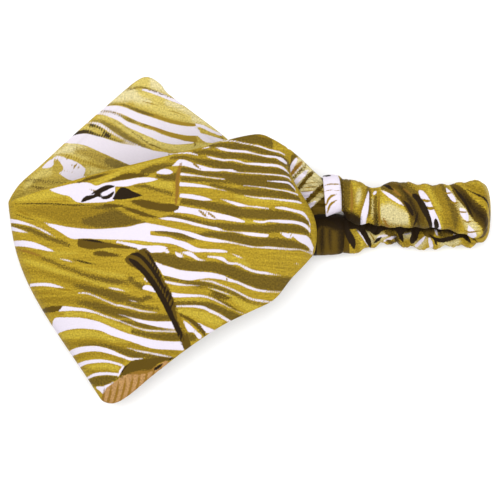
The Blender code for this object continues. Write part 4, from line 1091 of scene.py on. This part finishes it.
PANEL_PLACES = 6
CASING_PLACES = 3
FAR_FLAT_END = share_of(PANEL, PANEL_PLACES, "far flat end")
UNDER_FOLD = share_of(PANEL, PANEL_PLACES, "under fold")
OVER_FOLD = share_of(PANEL, PANEL_PLACES, "over fold")
TUCK = share_of(PANEL, PANEL_PLACES, "tuck")
NEAR_NECK = share_of(PANEL, PANEL_PLACES, "near neck")


def pleated(turns):
    """Gathers from 1 at their round ridges to -1 in their sharp valleys, one for each half turn."""
    return 2 * np.abs(np.sin(turns)) ** PLEAT_SHARPNESS - 1


def panel_surface(shares, across):
    """The middle of the panel's cloth, and its place on the flat cloth.

    Each row is the straight line from crown edge to face edge, plus swell times the sine of half a
    turn, skew times the sine of a whole turn, and pleats. A pleat is twice a power of the absolute
    sine, less one, so its ridge is round and its valley sharp. Slack waves are plane sine waves on
    the flat cloth, full on the near half and none where the cloth lies on the floor.
    """
    rows = rows_at(PANEL, PANEL_PLACES, shares)
    columns = {name: rows[:, i][:, None] for i, name in enumerate(PanelRow._fields[1:])}
    crown, face = rows[:, None, 0:3], rows[:, None, 3:6]
    point = crown + (face - crown) * across[:, :, None]
    middle = np.sin(np.pi * across)
    quarters = np.sin(2 * np.pi * across)
    wide = np.linalg.norm(rows[:, 0:3] - rows[:, 3:6], axis=1)[:, None]
    along = running_length((rows[:, 0:3] + rows[:, 3:6]) / 2)[:, None]
    flat_x = along + 0 * across
    flat_y = (across - 0.5) * wide
    big = pleated(np.pi * PLEATS * across)
    small = pleated(np.pi * FINE_PLEATS * across + FINE_DRIFT * flat_x)
    slack = np.zeros_like(flat_x)
    for wave in SLACK:
        heading = math.radians(wave.heading)
        run = flat_x * math.cos(heading) + flat_y * math.sin(heading)
        slack += wave.height * np.sin(2 * np.pi * run / wave.length + wave.phase)
    held = ease(OVER_FOLD, OVER_FOLD + SLACK_GROWS, shares) * (1 - ease(TUCK, NEAR_NECK, shares))
    point[..., 0] += columns["swell_x"] * middle + columns["skew_x"] * quarters
    point[..., 2] += columns["swell_z"] * middle
    point[..., 2] += columns["pleat"] * ((1 - FINE_SHARE) * big + FINE_SHARE * small)
    point[..., 2] += slack * held[:, None]
    point[..., 2] = np.maximum(point[..., 2], RESTS_AT)
    return point, flat_x, flat_y, np.minimum(across, 1 - across) * wide


def panel_shares():
    """The shares at which the panel has its rows.

    They lie close on the near half and on the far half's ear, which both show, and wide apart on its
    hidden gathers: even steps of the running sum of each stretch's length over its spacing.
    """
    tried = np.linspace(0, 1, SHARES_TRIED)
    rows = rows_at(PANEL, PANEL_PLACES, tried)
    middle = (rows[:, 0:3] + rows[:, 3:6]) / 2
    middle[:, 0] += rows[:, 6]
    middle[:, 2] += rows[:, 7]
    near = ease(UNDER_FOLD - FOLD_BLEND, UNDER_FOLD, tried)
    spacing = EAR_SPACING + (NEAR_SPACING - EAR_SPACING) * near
    shown = ease(FAR_FLAT_END - GATHERS_BLEND, FAR_FLAT_END, tried)
    spacing = FAR_SPACING + (spacing - FAR_SPACING) * shown
    count = np.concatenate([[0.0], np.cumsum(np.diff(running_length(middle)) / spacing[1:])])
    return np.interp(np.linspace(0, count[-1], PANEL_ROWS), count, tried)


def across_columns(shares, cells, crowd):
    """The shares across each row: HEM_CELLS even ones in each hem, and the others between them.

    crowd, from 0 to 1 for each row, draws the columns between the hems towards the crown edge: a
    power of the even share, from 1 to 2.
    """
    rows = rows_at(PANEL, PANEL_PLACES, shares)
    wide = np.linalg.norm(rows[:, 0:3] - rows[:, 3:6], axis=1)
    hem = np.minimum(HEM_WIDE / wide, HEM_MOST)[:, None]
    between = np.linspace(0, 1, cells + 1)[None, :] ** (1 + crowd[:, None])
    first = np.linspace(0, 1, HEM_CELLS + 1)[None, :-1] * hem
    last = 1 - first[:, ::-1]
    return np.concatenate([first, hem + (1 - 2 * hem) * between, last], axis=1)


def cloth_sides(shares, across, side):
    """One side of the panel's cloth, the printed side for side 1 and the wrong side for -1.

    The middle of the cloth is moved by half its thickness along its normal, which is the way across
    crossed with the way along. The turned hem adds HEM_EXTRA over HEM_WIDE on the wrong side, and
    HEM_SHOWS on the printed side.
    """
    middle, flat_x, flat_y, edge = panel_surface(shares, across)
    normal = unit(np.cross(np.gradient(middle, axis=1), np.gradient(middle, axis=0)))
    hem = 1 - ease(HEM_WIDE - HEM_STEP, HEM_WIDE + HEM_STEP, edge)
    half = CLOTH / 2 + (HEM_EXTRA if side < 0 else HEM_SHOWS) * hem
    point = middle + side * normal * half[..., None]
    point[..., 2] = np.maximum(point[..., 2], FLOOR_GAP)
    return point, np.stack([flat_x, flat_y], axis=-1)


def rounded_rim(start, end, outward):
    """Points on a half ellipse from start to end, its middle half their distance out along outward."""
    angles = np.pi * np.arange(1, RIM_POINTS + 1) / (RIM_POINTS + 1)
    middle, half = (start + end) / 2, (start - end) / 2
    deep = np.linalg.norm(half, axis=-1, keepdims=True)
    points = [middle + half * math.cos(a) + outward * deep * math.sin(a) for a in angles]
    return np.stack(points, axis=1)


def grid_faces(rows, columns, rows_closed=False):
    """Quads of a grid whose columns close on themselves, and whose rows do too if rows_closed."""
    steps = rows if rows_closed else rows - 1
    i, j = np.meshgrid(np.arange(steps), np.arange(columns), indexing="ij")
    nexts, beside = (i + 1) % rows, (j + 1) % columns
    corners = [
        i * columns + j,
        nexts * columns + j,
        nexts * columns + beside,
        i * columns + beside,
    ]
    return np.stack(corners, axis=-1).reshape(-1, 4)


def put_mesh(name, points, faces, ends=(), flat=None, fields=None):
    """A mesh object from arrays in mm: points, quads, end faces, flat coordinates and fields."""
    mesh = bpy.data.meshes.new(name)
    mesh.from_pydata((points * MM).tolist(), [], faces.tolist() + [list(end) for end in ends])
    mesh.shade_smooth()
    if flat is not None:
        loops = np.empty(len(mesh.loops), np.int32)
        mesh.loops.foreach_get("vertex_index", loops)
        uv = mesh.uv_layers.new(name="weave")
        uv.data.foreach_set("uv", flat[loops].astype(np.float32).ravel())
    for field, values in (fields or {}).items():
        kind, key = ("FLOAT_VECTOR", "vector") if values.ndim == 2 else ("FLOAT", "value")
        attribute = mesh.attributes.new(field, kind, "POINT")
        attribute.data.foreach_set(key, values.astype(np.float32).ravel())
    return put_object(name, mesh)


def put_object(name, data):
    """An object of that name in the scene."""
    obj = bpy.data.objects.new(name, data)
    bpy.context.scene.collection.objects.link(obj)
    return obj


def smooth_path(path, each=8):
    """A cubic through every point of a short path, each stretch cut in eight, with the share of the
    way to each place on it."""
    points = np.array(path, float)
    last = len(points) - 1
    shares = np.linspace(0, last, last * each + 1)
    i = np.clip(shares.astype(int), 0, last - 1)
    t = (shares - i)[:, None]
    before, after = points[np.maximum(i - 1, 0)], points[np.minimum(i + 2, last)]
    leave, reach = (points[i + 1] - before) / 2, (after - points[i]) / 2
    curve = cubic(t, 1, points[i], leave, points[i + 1], reach)
    length = running_length(curve)
    return curve, length / length[-1]


def leaf_widths(leaf, shares):
    """Half the leaf's width: full, but narrowing as a power of the distance from each tip."""
    half = np.full(len(shares), leaf.wide / 2)
    if leaf.head:
        half *= np.minimum(1, shares / leaf.head) ** TIP_POWER
    if leaf.tail:
        half *= np.minimum(1, (1 - shares) / leaf.tail) ** TIP_POWER
    return half


def inside(at, strokes):
    """How far inside the nearest brush stroke each point of the plan lies, in mm, less than nothing
    outside and never past REACH: the greatest over all the leaves and bands."""
    field = np.full(len(at), -REACH)
    for stroke in strokes:
        work_out = inside_band if isinstance(stroke, Band) else inside_leaf
        near, depth = work_out(at, stroke)
        field[near] = np.maximum(field[near], depth)
    return np.clip(field, -REACH, REACH)


def points_between(at, low, high):
    """The places in at of the points between two corners of the plan."""
    return np.nonzero(((at > low) & (at < high)).all(axis=1))[0]


def inside_leaf(at, leaf):
    """How far inside a leaf each point near it lies: for each stretch of its middle line, the half
    width at the nearest place on it less the distance to that place, and the greatest of these."""
    curve, shares = smooth_path(leaf.path)
    half = leaf_widths(leaf, shares)
    margin = leaf.wide / 2 + REACH
    near = points_between(at, curve.min(0) - margin, curve.max(0) + margin)
    step = np.diff(curve, axis=0)
    long = np.maximum((step**2).sum(1), TINY)
    reach = at[near, None, :] - curve[None, :-1, :]
    t = np.clip((reach * step).sum(-1) / long, 0, 1)
    away = np.linalg.norm(reach - t[..., None] * step, axis=-1)
    return near, (half[:-1] + (half[1:] - half[:-1]) * t - away).max(axis=1)


def inside_band(at, band):
    """How far inside a band each point near it lies: the lesser distance to its top and bottom edge,
    each a cubic through the band's rows, over the length of an edge for each mm of x. Past an end the
    distance from the end counts."""
    curve, _ = smooth_path(band.edges)
    x, top, bottom = curve.T
    low, high = (x[0] - REACH, bottom.min() - REACH), (x[-1] + REACH, top.max() + REACH)
    near = points_between(at, low, high)
    here, y = at[near, 0], at[near, 1]
    slope = np.gradient((top + bottom) / 2, x)
    run = np.sqrt(1 + np.interp(here, x, slope) ** 2)
    depth = np.minimum(np.interp(here, x, top) - y, y - np.interp(here, x, bottom)) / run
    past = np.maximum(np.maximum(x[0] - here, here - x[-1]), 0)
    return near, np.where(past > 0, np.minimum(depth, 0) - past, depth)


def leaflet_family(low, high, wide, narrow, seed):
    """Leaflets in even rows between two corners of the plan, each with its own place, length and width
    by chance."""
    chance = np.random.default_rng(seed)
    leaves = []
    for y in np.arange(low[1], high[1], FAMILY_PITCH):
        x = low[0] + chance.uniform(0, FAMILY_STAGGER)
        while x < high[0]:
            long = chance.uniform(*FAMILY_LONG)
            start = y + chance.uniform(-FAMILY_SHAKE, FAMILY_SHAKE)
            path = [
                (x + long * t, start + FAMILY_SLOPE * long * t + FAMILY_BOW * t * (1 - t))
                for t in (0, 0.33, 0.67, 1)
            ]
            leaves.append(Leaf(chance.uniform(narrow, wide), path, FAMILY_TIP, FAMILY_TIP))
            x += long * chance.uniform(*FAMILY_STEP)
    return leaves


def crossing_leaves(first, last, wide):
    """Leaves across the side of the far strand that faces the crown, at an even pitch, each leaning
    forward."""
    return [
        Leaf(wide, [(x + ahead, y) for ahead, y in CROSSING_PATH])
        for x in np.arange(first, last, CROSSING_PITCH)
    ]


def peach_ribs():
    """The ribs of the peach leaf: short strokes set across it at an even pitch, each bowed a little."""
    ribs = []
    for x in np.arange(RIBS_FROM, RIBS_TO, RIB_PITCH):
        edge = np.interp(x, PEACH_EDGE_X, PEACH_EDGE_Y)
        path = [(x + ahead, edge + up) for ahead, up in RIB_PATH]
        ribs.append(Leaf(RIB_WIDE, path))
    return ribs


def covered(leaves):
    """Those leaflets of the far half that lie where the near half covers it."""
    kept = []
    for leaf in leaves:
        x, y = np.array(leaf.path).mean(axis=0)
        if y < COVER_POINT[1] + COVER_SLOPE * (x - COVER_POINT[0]) or x > COVER_FROM:
            kept.append(leaf)
    return kept


def joined(strokes, more):
    """The strokes of each ink from two sets together."""
    return {ink: strokes.get(ink, []) + more.get(ink, []) for ink in INKS}


def print_fields(at, places):
    """Each ink's field over the plan at: places pair a choice of its points with the strokes there."""
    fields = {ink: np.full(len(at), -REACH) for ink in INKS}
    for where, strokes in places:
        for ink in INKS:
            fields[ink][where] = inside(at[where], strokes.get(ink, []))
    return fields


def panel_print(at, shares):
    """The panel's print fields: the near half's leaflets past the fold, the far half's before it, and
    the gathered end's past the tuck. at is the plan, shares how far along each point is."""
    white = leaflet_family(*FAMILY_FIELD, *FAMILY_WHITE, FAMILY_SEED)
    olive = leaflet_family(*FAMILY_FIELD, *FAMILY_OLIVE, FAMILY_SEED + 1)
    near = joined(NEAR, {"vein": NEAR_STALK_LIGHT, "rust": peach_ribs(), "dark": NEAR_STALK})
    far = joined(FAR, {"olive": covered(olive), "white": covered(white)})
    on_near = (shares > UNDER_FOLD) & (shares < TUCK)
    places = ((on_near, near), (shares <= UNDER_FOLD, far), (shares >= TUCK, CONE))
    fields = print_fields(at, places)
    stalk_light = inside(at, NEAR_STALK_LIGHT)
    for ink in ("umber", "dark"):
        fields[ink] = np.where(on_near, np.minimum(fields[ink], -stalk_light), fields[ink])
    return fields


def with_rims(outer, inner, axis):
    """Values on the way round the cloth along axis: outer side, rim, inner side and rim. A rim has the
    values of the nearest edge of the outer side."""
    last = np.repeat(outer.take([-1], axis), RIM_POINTS, axis)
    first = np.repeat(outer.take([0], axis), RIM_POINTS, axis)
    return np.concatenate([outer, last, inner, first], axis)


def panel_cloth():
    """The panel as one closed cloth: printed side, rounded face hem, wrong side and rounded crown hem
    round each row, and a flat end face inside each cuff."""
    shares = panel_shares()
    even = np.zeros(len(shares))
    crowd = 1 - ease(UNDER_FOLD, OVER_FOLD, shares)
    outer, outer_flat = cloth_sides(shares, across_columns(shares, OUTER_CELLS, even), 1)
    inner, inner_flat = cloth_sides(shares, across_columns(shares, INNER_CELLS, crowd), -1)
    inner, inner_flat = inner[:, ::-1], inner_flat[:, ::-1]
    face_out = unit(outer[:, -1] - outer[:, -2])
    crown_out = unit(outer[:, 0] - outer[:, 1])
    face_rim = rounded_rim(outer[:, -1], inner[:, 0], face_out)
    crown_rim = rounded_rim(inner[:, -1], outer[:, 0], crown_out)
    points = np.concatenate([outer, face_rim, inner, crown_rim], axis=1)
    points[..., 2] = np.maximum(points[..., 2], FLOOR_GAP)
    flat = with_rims(outer_flat, inner_flat, 1)
    wrong = with_rims(np.zeros(outer.shape[:2]), np.ones(inner.shape[:2]), 1)
    rows, columns = points.shape[:2]
    faces = grid_faces(rows, columns)[:, ::-1]
    ends = [list(range(columns))[::-1], list(range((rows - 1) * columns, rows * columns))]
    at = points.reshape(-1, 3)
    fields = panel_print(at[:, :2], np.repeat(shares, columns))
    fields["wrong"] = wrong.ravel()
    fields["plan"] = at * np.array([1.0, 1.0, 0.0])
    return put_mesh("panel_cloth", at, faces, ends, flat.reshape(-1, 2), fields)


def casing_frames(count):
    """The casing's rings: their rows, the directions along and out of the strand, and the way travelled
    to each."""
    rows = rows_at(CASING, CASING_PLACES, np.linspace(0, 1, count))
    along = np.gradient(rows[:, :3], axis=0)
    along[:, 1] = 0
    along = unit(along)
    return rows, along, np.cross([0, 1, 0], along), running_length(rows[:, :3])


def crease_depth(way, angle):
    """How deep the creases cut at each way along the strand and angle round it, from 0 to about 1.

    Each family's turns count its creases: the way over their spacing, plus its lean times the sine of
    the angle from its side, plus sines that wander round and along. A crease is one less the absolute
    sine of its turns, to a power, so that the cloth between them puffs out round. It swings between
    shallow and deep with one more sine.
    """
    wander = sum(w.turns * np.sin(w.round_waves * angle + way / w.apart) for w in WANDERS)
    cut = np.zeros(np.broadcast_shapes(way.shape, angle.shape))
    for family in CREASES:
        lean = family.lean * np.sin(angle + family.side)
        turns = way / family.apart + lean + wander + family.phase
        phase = SWING_ROUND * angle + SWING_ALONG * turns + SWING_PHASE * family.phase
        swing = SWING_MIDDLE + (1 - SWING_MIDDLE) * np.sin(phase)
        cut += family.share * swing * (1 - np.abs(np.sin(np.pi * turns))) ** CREASE_SHARPNESS
    return cut


def squared_off(wave):
    """A sine or cosine drawn towards 1 and -1: its size to a power, with its own sign."""
    return np.sign(wave) * np.abs(wave) ** (2 / RING_SQUARENESS)


def casing_surface(frames, inset):
    """The casing's cloth, and how far it is along the strand and round it.

    A ring is an ellipse squared off by a power of its sine and cosine, inset by the wall for the inner
    side. Ruffles are a sine of the way along, led on by the sine of the angle. Creases cut in from it.
    """
    rows, along, out, travelled = frames
    angle = np.linspace(0, 2 * np.pi, CASING_ROUND, endpoint=False)[None, :]
    side, rise = squared_off(np.cos(angle)), squared_off(np.sin(angle))
    x, y, z, wide, thick, lean, ruffle, crease = (rows[:, i][:, None] for i in range(8))
    way = travelled[:, None]
    waves = ruffle * np.sin(2 * np.pi * way / RUFFLE_SPACING + RUFFLE_LEAN * np.sin(angle))
    cut = crease_depth(way, angle)
    half_wide = wide / 2 + waves - crease * cut - inset
    half_thick = thick / 2 + waves - crease * cut - inset
    point = np.stack([x + 0 * angle, y + side * half_wide, z + 0 * angle], axis=-1)
    point += out[:, None, :] * (rise * half_thick)[..., None]
    point += along[:, None, :] * (lean * side / 2)[..., None]
    point[..., 2] = np.maximum(point[..., 2], FLOOR_GAP + inset)
    round_way = np.arange(1, CASING_ROUND + 1)[None, :] * FLAT_ROUND / CASING_ROUND
    return point, np.stack([way + 0 * angle, round_way + 0 * way], axis=-1)


def casing_plan(frames):
    """Each ring's place along its strand, and whether that is the near strand.

    The place is its x up to the turn, and past it the way travelled, the same from both strands, with
    the ring at the middle of the turn as the switch between them.
    """
    rows, _, _, travelled = frames
    near = np.arange(len(rows)) <= np.argmax(rows[:, 0])
    past = rows[:, 0] > TURN_FROM
    enter = travelled[np.argmax(past)]
    leave = travelled[len(rows) - 1 - np.argmax(past[::-1])]
    beyond = np.where(near, travelled - enter, leave - travelled)
    return np.where(past, TURN_FROM + beyond, rows[:, 0]), near


def casing_print(at, near):
    """The casing's print fields: near strand and far strand each have their leaflets, and share those
    at the turn."""
    olive, white = crossing_leaves(*CROSSING_OLIVE), crossing_leaves(*CROSSING_WHITE)
    strand, back = joined(STRAND, TURN), joined(BACK, TURN)
    back = joined(back, {"olive": olive, "white": white})
    return print_fields(at, ((near, strand), (~near, back)))


def casing_cloth():
    """The casing as one closed cloth: outer side, rounded far mouth, inner side and rounded near
    mouth. Its frames and its outer side come back with it."""
    frames = casing_frames(CASING_RINGS)
    outer, outer_flat = casing_surface(frames, 0.0)
    step = CASING_RINGS // CASING_INNER_RINGS
    inner_frames = tuple(np.concatenate([part[::step], part[-1:]]) for part in frames)
    inner, inner_flat = casing_surface(inner_frames, CASING_WALL)
    inner, inner_flat = inner[::-1], inner_flat[::-1]
    leave, enter = frames[1][-1], -frames[1][0]
    far_mouth = rounded_rim(outer[-1], inner[0], leave).transpose(1, 0, 2)
    near_mouth = rounded_rim(inner[-1], outer[0], enter).transpose(1, 0, 2)
    points = np.concatenate([outer, far_mouth, inner, near_mouth], axis=0)
    points[..., 2] = np.maximum(points[..., 2], FLOOR_GAP)
    flat = with_rims(outer_flat, inner_flat, 0)
    wrong = with_rims(np.zeros(outer.shape[:2]), np.ones(inner.shape[:2]), 0)
    (outer_x, outer_near), (inner_x, inner_near) = casing_plan(frames), casing_plan(inner_frames)
    rings, columns = points.shape[:2]
    plan_x = np.repeat(with_rims(outer_x, inner_x[::-1], 0), columns)
    near = np.repeat(with_rims(outer_near, inner_near[::-1], 0), columns)
    at = np.stack([plan_x, points[..., 1].ravel()], axis=1)
    fields = casing_print(at, near)
    fields["wrong"] = wrong.ravel()
    fields["plan"] = np.concatenate([at, np.zeros((len(at), 1))], axis=1)
    faces = grid_faces(rings, columns, True)
    obj = put_mesh("casing_cloth", points.reshape(-1, 3), faces, (), flat.reshape(-1, 2), fields)
    return obj, frames, outer


def stitch_mesh(name, middle, forward, up):
    """Joined stitches: for each, six-sided rings along forward, bowed up, narrowing to both ends, which
    caps close.

    A ring's middle is the stitch's middle plus its share of half the length along forward, less the
    square of that share along up. Its points lie round that middle on a circle of the thread's radius
    times the ring's size.
    """
    shares, sizes = np.array(STITCH_SHARES), np.array(STITCH_SIZES)
    angle = np.linspace(0, 2 * np.pi, STITCH_SIDES, endpoint=False)
    aside = np.cross(forward, up)
    centre = (
        middle[:, None, :]
        + forward[:, None, :] * (shares * STITCH_LONG / 2)[None, :, None]
        - up[:, None, :] * (STITCH_BOW * shares**2)[None, :, None]
    )
    spokes = (
        aside[:, None, :] * np.cos(angle)[None, :, None]
        + up[:, None, :] * np.sin(angle)[None, :, None]
    )
    points = centre[:, :, None, :] + THREAD * sizes[None, :, None, None] * spokes[:, None, :, :]
    each = len(shares) * STITCH_SIDES
    firsts = range(0, each * len(middle), each)
    faces = grid_faces(len(shares), STITCH_SIDES)[None] + np.array(firsts)[:, None, None]
    ends = [list(range(first, first + STITCH_SIDES)) for first in firsts]
    ends += [list(range(first + each - STITCH_SIDES, first + each))[::-1] for first in firsts]
    return put_mesh(name, points.reshape(-1, 3), faces.reshape(-1, 4), ends)


def along_line(line, normals, pitch):
    """Evenly spaced middles, directions and normals on a line of points."""
    travelled = running_length(line)
    places = np.arange(pitch, travelled[-1] - pitch, pitch)

    def read(values, at):
        return np.stack([np.interp(at, travelled, values[:, i]) for i in range(3)], axis=1)

    middle, up = read(line, places), read(normals, places)
    forward = unit(read(line, places + STITCH_AHEAD) - middle)
    return middle, forward, unit(up - forward * (up * forward).sum(1)[:, None])


def cuff_stitches(frames, outer):
    """A ring of stitches in the groove at each end of the casing, where the cuff is sewn down. Those
    that would touch the floor are left out."""
    parts = []
    for name in ("collar seam", "far seam"):
        share = share_of(CASING, CASING_PLACES, name)
        ring = outer[round(share * (len(frames[0]) - 1))]
        closed = np.concatenate([ring, ring[:1]])
        up = unit(closed - closed[:-1].mean(axis=0))
        parts.append(along_line(closed, up, STITCH_PITCH))
    middle, forward, up = (np.concatenate(part) for part in zip(*parts))
    clear = middle[:, 2] > THREAD + STITCH_CLEAR
    middle, forward, up = middle[clear], forward[clear], up[clear]
    return stitch_mesh("cuff_stitches", middle + up * STITCH_LIFT, forward, up)


def linear(colour):
    """A colour out of 255 as seen on a screen, turned to the linear value that a shader takes by the
    screen's usual curve, less what REFLECTS takes off."""
    part = np.array(colour) / 255
    value = np.where(part <= 0.04045, part / 12.92, ((part + 0.055) / 1.055) ** 2.4)
    return (*(value * REFLECTS).tolist(), 1.0)


def add(tree, kind, inputs=None, **settings):
    """A shader node with its settings, and its inputs set or linked."""
    made = tree.nodes.new("ShaderNode" + kind)
    for name, value in settings.items():
        setattr(made, name, value)
    for socket, value in (inputs or {}).items():
        if isinstance(value, bpy.types.NodeSocket):
            tree.links.new(value, made.inputs[socket])
        else:
            made.inputs[socket].default_value = value
    return made


MIX_FACTOR, MIX_A, MIX_B, MIX_RESULT = 0, 6, 7, 2


def blend_colour(tree, factor, first, second):
    """The first colour where factor is 0, the second where it is 1."""
    inputs = {MIX_FACTOR: factor, MIX_A: first, MIX_B: second}
    return add(tree, "Mix", inputs, data_type="RGBA").outputs[MIX_RESULT]


def noise_of(tree, place, noise):
    """Noise at a place, on both sides of a half."""
    inputs = {"Vector": place, "Scale": noise.scale, "Detail": noise.detail}
    return add(tree, "TexNoise", {**inputs, "Roughness": noise.roughness}).outputs["Fac"]


def stretch(tree, place, scale, turn=0.0):
    """The place turned about the upright axis, in degrees, and scaled."""
    inputs = {"Vector": place, "Rotation": (0, 0, math.radians(turn)), "Scale": scale}
    return add(tree, "Mapping", inputs).outputs["Vector"]


def math_of(tree, operation, first, second=0.0):
    """Arithmetic on one or two values, as the operation says."""
    return add(tree, "Math", {0: first, 1: second}, operation=operation).outputs[0]


def ramp(tree, value, start, end, low=0.0, high=1.0, **settings):
    """From low to high as the value runs from start to end, and no further."""
    inputs = {"Value": value, "From Min": start, "From Max": end, "To Min": low, "To Max": high}
    return add(tree, "MapRange", inputs, **settings).outputs[0]


def noise_ramp(tree, noise, low, high):
    """From low to high over the values that noise gives."""
    return ramp(tree, noise, NOISE_LOW, NOISE_HIGH, low, high)


def brighter(tree, colour, value):
    """The colour with its brightness multiplied by value."""
    return add(tree, "HueSaturation", {"Color": colour, "Value": value}).outputs["Color"]


def ink_colour(tree, wrong, ink):
    """An ink's colour, on the printed side as it is and on the wrong side drawn towards the pale back
    of the cloth."""
    share = WRONG_SHARES.get(ink, WRONG_SHARE)
    paler = [a + (b - a) * share for a, b in zip(COLOURS[ink], WRONG_SIDE)]
    return blend_colour(tree, wrong, linear(COLOURS[ink]), linear(paler))


def varied(tree, colour, streaks, grain, stipple):
    """A colour made lighter and darker by the long streaks and, as much as stipple, the fine grain."""
    swing = noise_ramp(tree, streaks, *STREAK_SWING)
    speck = noise_ramp(tree, grain, 1 - stipple, 1 + LIGHT_SPECKS * stipple)
    return brighter(tree, colour, math_of(tree, "MULTIPLY", swing, speck))


def attribute(tree, name, output="Fac"):
    """A mesh's named values: Fac for one number, Vector for three."""
    return add(tree, "Attribute", attribute_name=name).outputs[output]


def new_material(name):
    """A material with its shader: the material, its nodes and the shader's inputs."""
    made = bpy.data.materials.new(name)
    made.use_nodes = True
    return made, made.node_tree, made.node_tree.nodes["Principled BSDF"].inputs


def printed_colour(tree, satin, plan, grain):
    """The print: each ink in turn over those below it, where its field, nudged by fine noise, is above
    nothing. The ground and the inks under the white vary with streaks and grain, the white and those
    over it only a little. The wrong side is paler."""
    streaks = noise_of(tree, stretch(tree, plan, STREAK_STRETCH, satin.turn), STREAKS)
    bleed = math_of(tree, "SUBTRACT", noise_of(tree, plan, BLEED), NOISE_MIDDLE)
    wrong = attribute(tree, "wrong")
    deep, plain = ink_colour(tree, wrong, "ground_deep"), ink_colour(tree, wrong, "ground")
    colour = blend_colour(tree, ramp(tree, streaks, *GROUND_TURNS), deep, plain)
    for ink in INKS:
        if ink == "white":
            colour = varied(tree, colour, streaks, grain, satin.stipple)
        moved = math_of(tree, "MULTIPLY", bleed, STIPPLES.get(ink, STIPPLE))
        field = math_of(tree, "ADD", attribute(tree, ink), moved)
        soft = SOFT_EDGES.get(ink, SOFT_EDGE)
        cover = ramp(tree, field, -soft, soft, interpolation_type="SMOOTHSTEP")
        colour = blend_colour(tree, cover, colour, ink_colour(tree, wrong, ink))
    return brighter(tree, colour, noise_ramp(tree, grain, *TOP_SWING))


def woven_height(tree):
    """The cloth's height: crepe by noise, and the weave as the product of two sines on the flat
    cloth."""
    flat = add(tree, "UVMap", uv_map="weave").outputs["UV"]
    threads = add(tree, "SeparateXYZ", {0: stretch(tree, flat, WEAVE_STRETCH)})
    warp, weft = (math_of(tree, "SINE", threads.outputs[i]) for i in (0, 1))
    weave = math_of(tree, "MULTIPLY", math_of(tree, "MULTIPLY", warp, weft), WEAVE_HEIGHT)
    return math_of(tree, "ADD", weave, noise_of(tree, flat, CREPE))


def printed_cloth(satin):
    """Printed satin: the print's colours, with fine weave and crepe in bump."""
    made, tree, shader = new_material(satin.name)
    plan = attribute(tree, "plan", "Vector")
    grain = noise_of(tree, plan, GRAIN)
    tree.links.new(printed_colour(tree, satin, plan, grain), shader["Base Color"])
    bump = add(tree, "Bump", {"Height": woven_height(tree), **CLOTH_BUMP})
    tree.links.new(bump.outputs["Normal"], shader["Normal"])
    low, high = satin.roughness - ROUGH_LESS, satin.roughness + ROUGH_MORE
    tree.links.new(noise_ramp(tree, grain, low, high), shader["Roughness"])
    shader["Sheen Weight"].default_value = 0.01
    shader["Sheen Roughness"].default_value = 0.4
    shader["Specular IOR Level"].default_value = 0.06
    return made


def thread_material():
    """Polyester sewing thread: a twist of fine diagonal bands, darker in its grooves as painted shade."""
    made, tree, shader = new_material("sewing_thread")
    inputs = {"Vector": add(tree, "TexCoord").outputs["Object"], **THREAD_BANDS}
    bands = add(tree, "TexWave", inputs, bands_direction="DIAGONAL").outputs["Fac"]
    groove_shade, bright = (linear(colour) for colour in THREAD_COLOURS)
    tree.links.new(blend_colour(tree, bands, groove_shade, bright), shader["Base Color"])
    bump = add(tree, "Bump", {"Height": bands, **THREAD_BUMP})
    tree.links.new(bump.outputs["Normal"], shader["Normal"])
    shader["Roughness"].default_value = 0.5
    return made


def floor_and_light():
    """A plain pale floor, one broad soft light from the upper left, a weaker one opposite, and an even
    white world."""
    half = FLOOR_HALF
    corners = [(-half, -half, 0), (half, -half, 0), (half, half, 0), (-half, half, 0)]
    mesh = bpy.data.meshes.new("floor")
    mesh.from_pydata(corners, [], [(0, 1, 2, 3)])
    floor = put_object("floor", mesh)
    paper, _, shader = new_material("pale_floor")
    shader["Base Color"].default_value = FLOOR_COLOUR
    shader["Roughness"].default_value = 0.8
    mesh.materials.append(paper)
    for light in LIGHTS:
        lamp = bpy.data.lights.new(light.name, "AREA")
        lamp.size = light.size
        lamp.energy = light.power
        obj = put_object(light.name, lamp)
        obj.location = light.place
        obj.rotation_euler = (-Vector(light.place)).to_track_quat("-Z", "Y").to_euler()
    world = bpy.data.worlds.new("studio")
    world.use_nodes = True
    sky = world.node_tree.nodes["Background"].inputs
    sky["Color"].default_value = (1, 1, 1, 1)
    sky["Strength"].default_value = WORLD_STRENGTH
    bpy.context.scene.world = world


def camera():
    """The camera looks steeply down on the headband: its way back from the target leans from straight
    up by the rest of the elevation, and its lens makes the picture's width at the target."""
    lens = bpy.data.cameras.new("camera")
    lens.sensor_width = SENSOR
    lens.lens = SENSOR * DISTANCE / PICTURE
    lens.clip_start, lens.clip_end = 0.01, 10.0
    tilt = math.radians(ELEVATION)
    back = Vector((0, -math.cos(tilt), math.sin(tilt)))
    obj = put_object("camera", lens)
    obj.location = (Vector(LOOK_AT) + back * DISTANCE) * MM
    obj.rotation_euler = (math.radians(90 - ELEVATION), 0, 0)
    bpy.context.scene.camera = obj


def build():
    """The three pieces, with their looks and what they say to the frame."""
    panel = panel_cloth()
    panel.data.materials.append(printed_cloth(PANEL_SATIN))
    casing, frames, outer = casing_cloth()
    casing.data.materials.append(printed_cloth(CASING_SATIN))
    cuffs = cuff_stitches(frames, outer)
    cuffs.data.materials.append(thread_material())
    for piece, slot in ((panel, "printed_cloth"), (casing, "casing_cloth"), (cuffs, "casing_cloth")):
        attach(piece, "root")
    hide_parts("front_panel")
    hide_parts("elastic_casing")


build()
floor_and_light()
camera()
bpy.context.scene.view_settings.view_transform = "Standard"
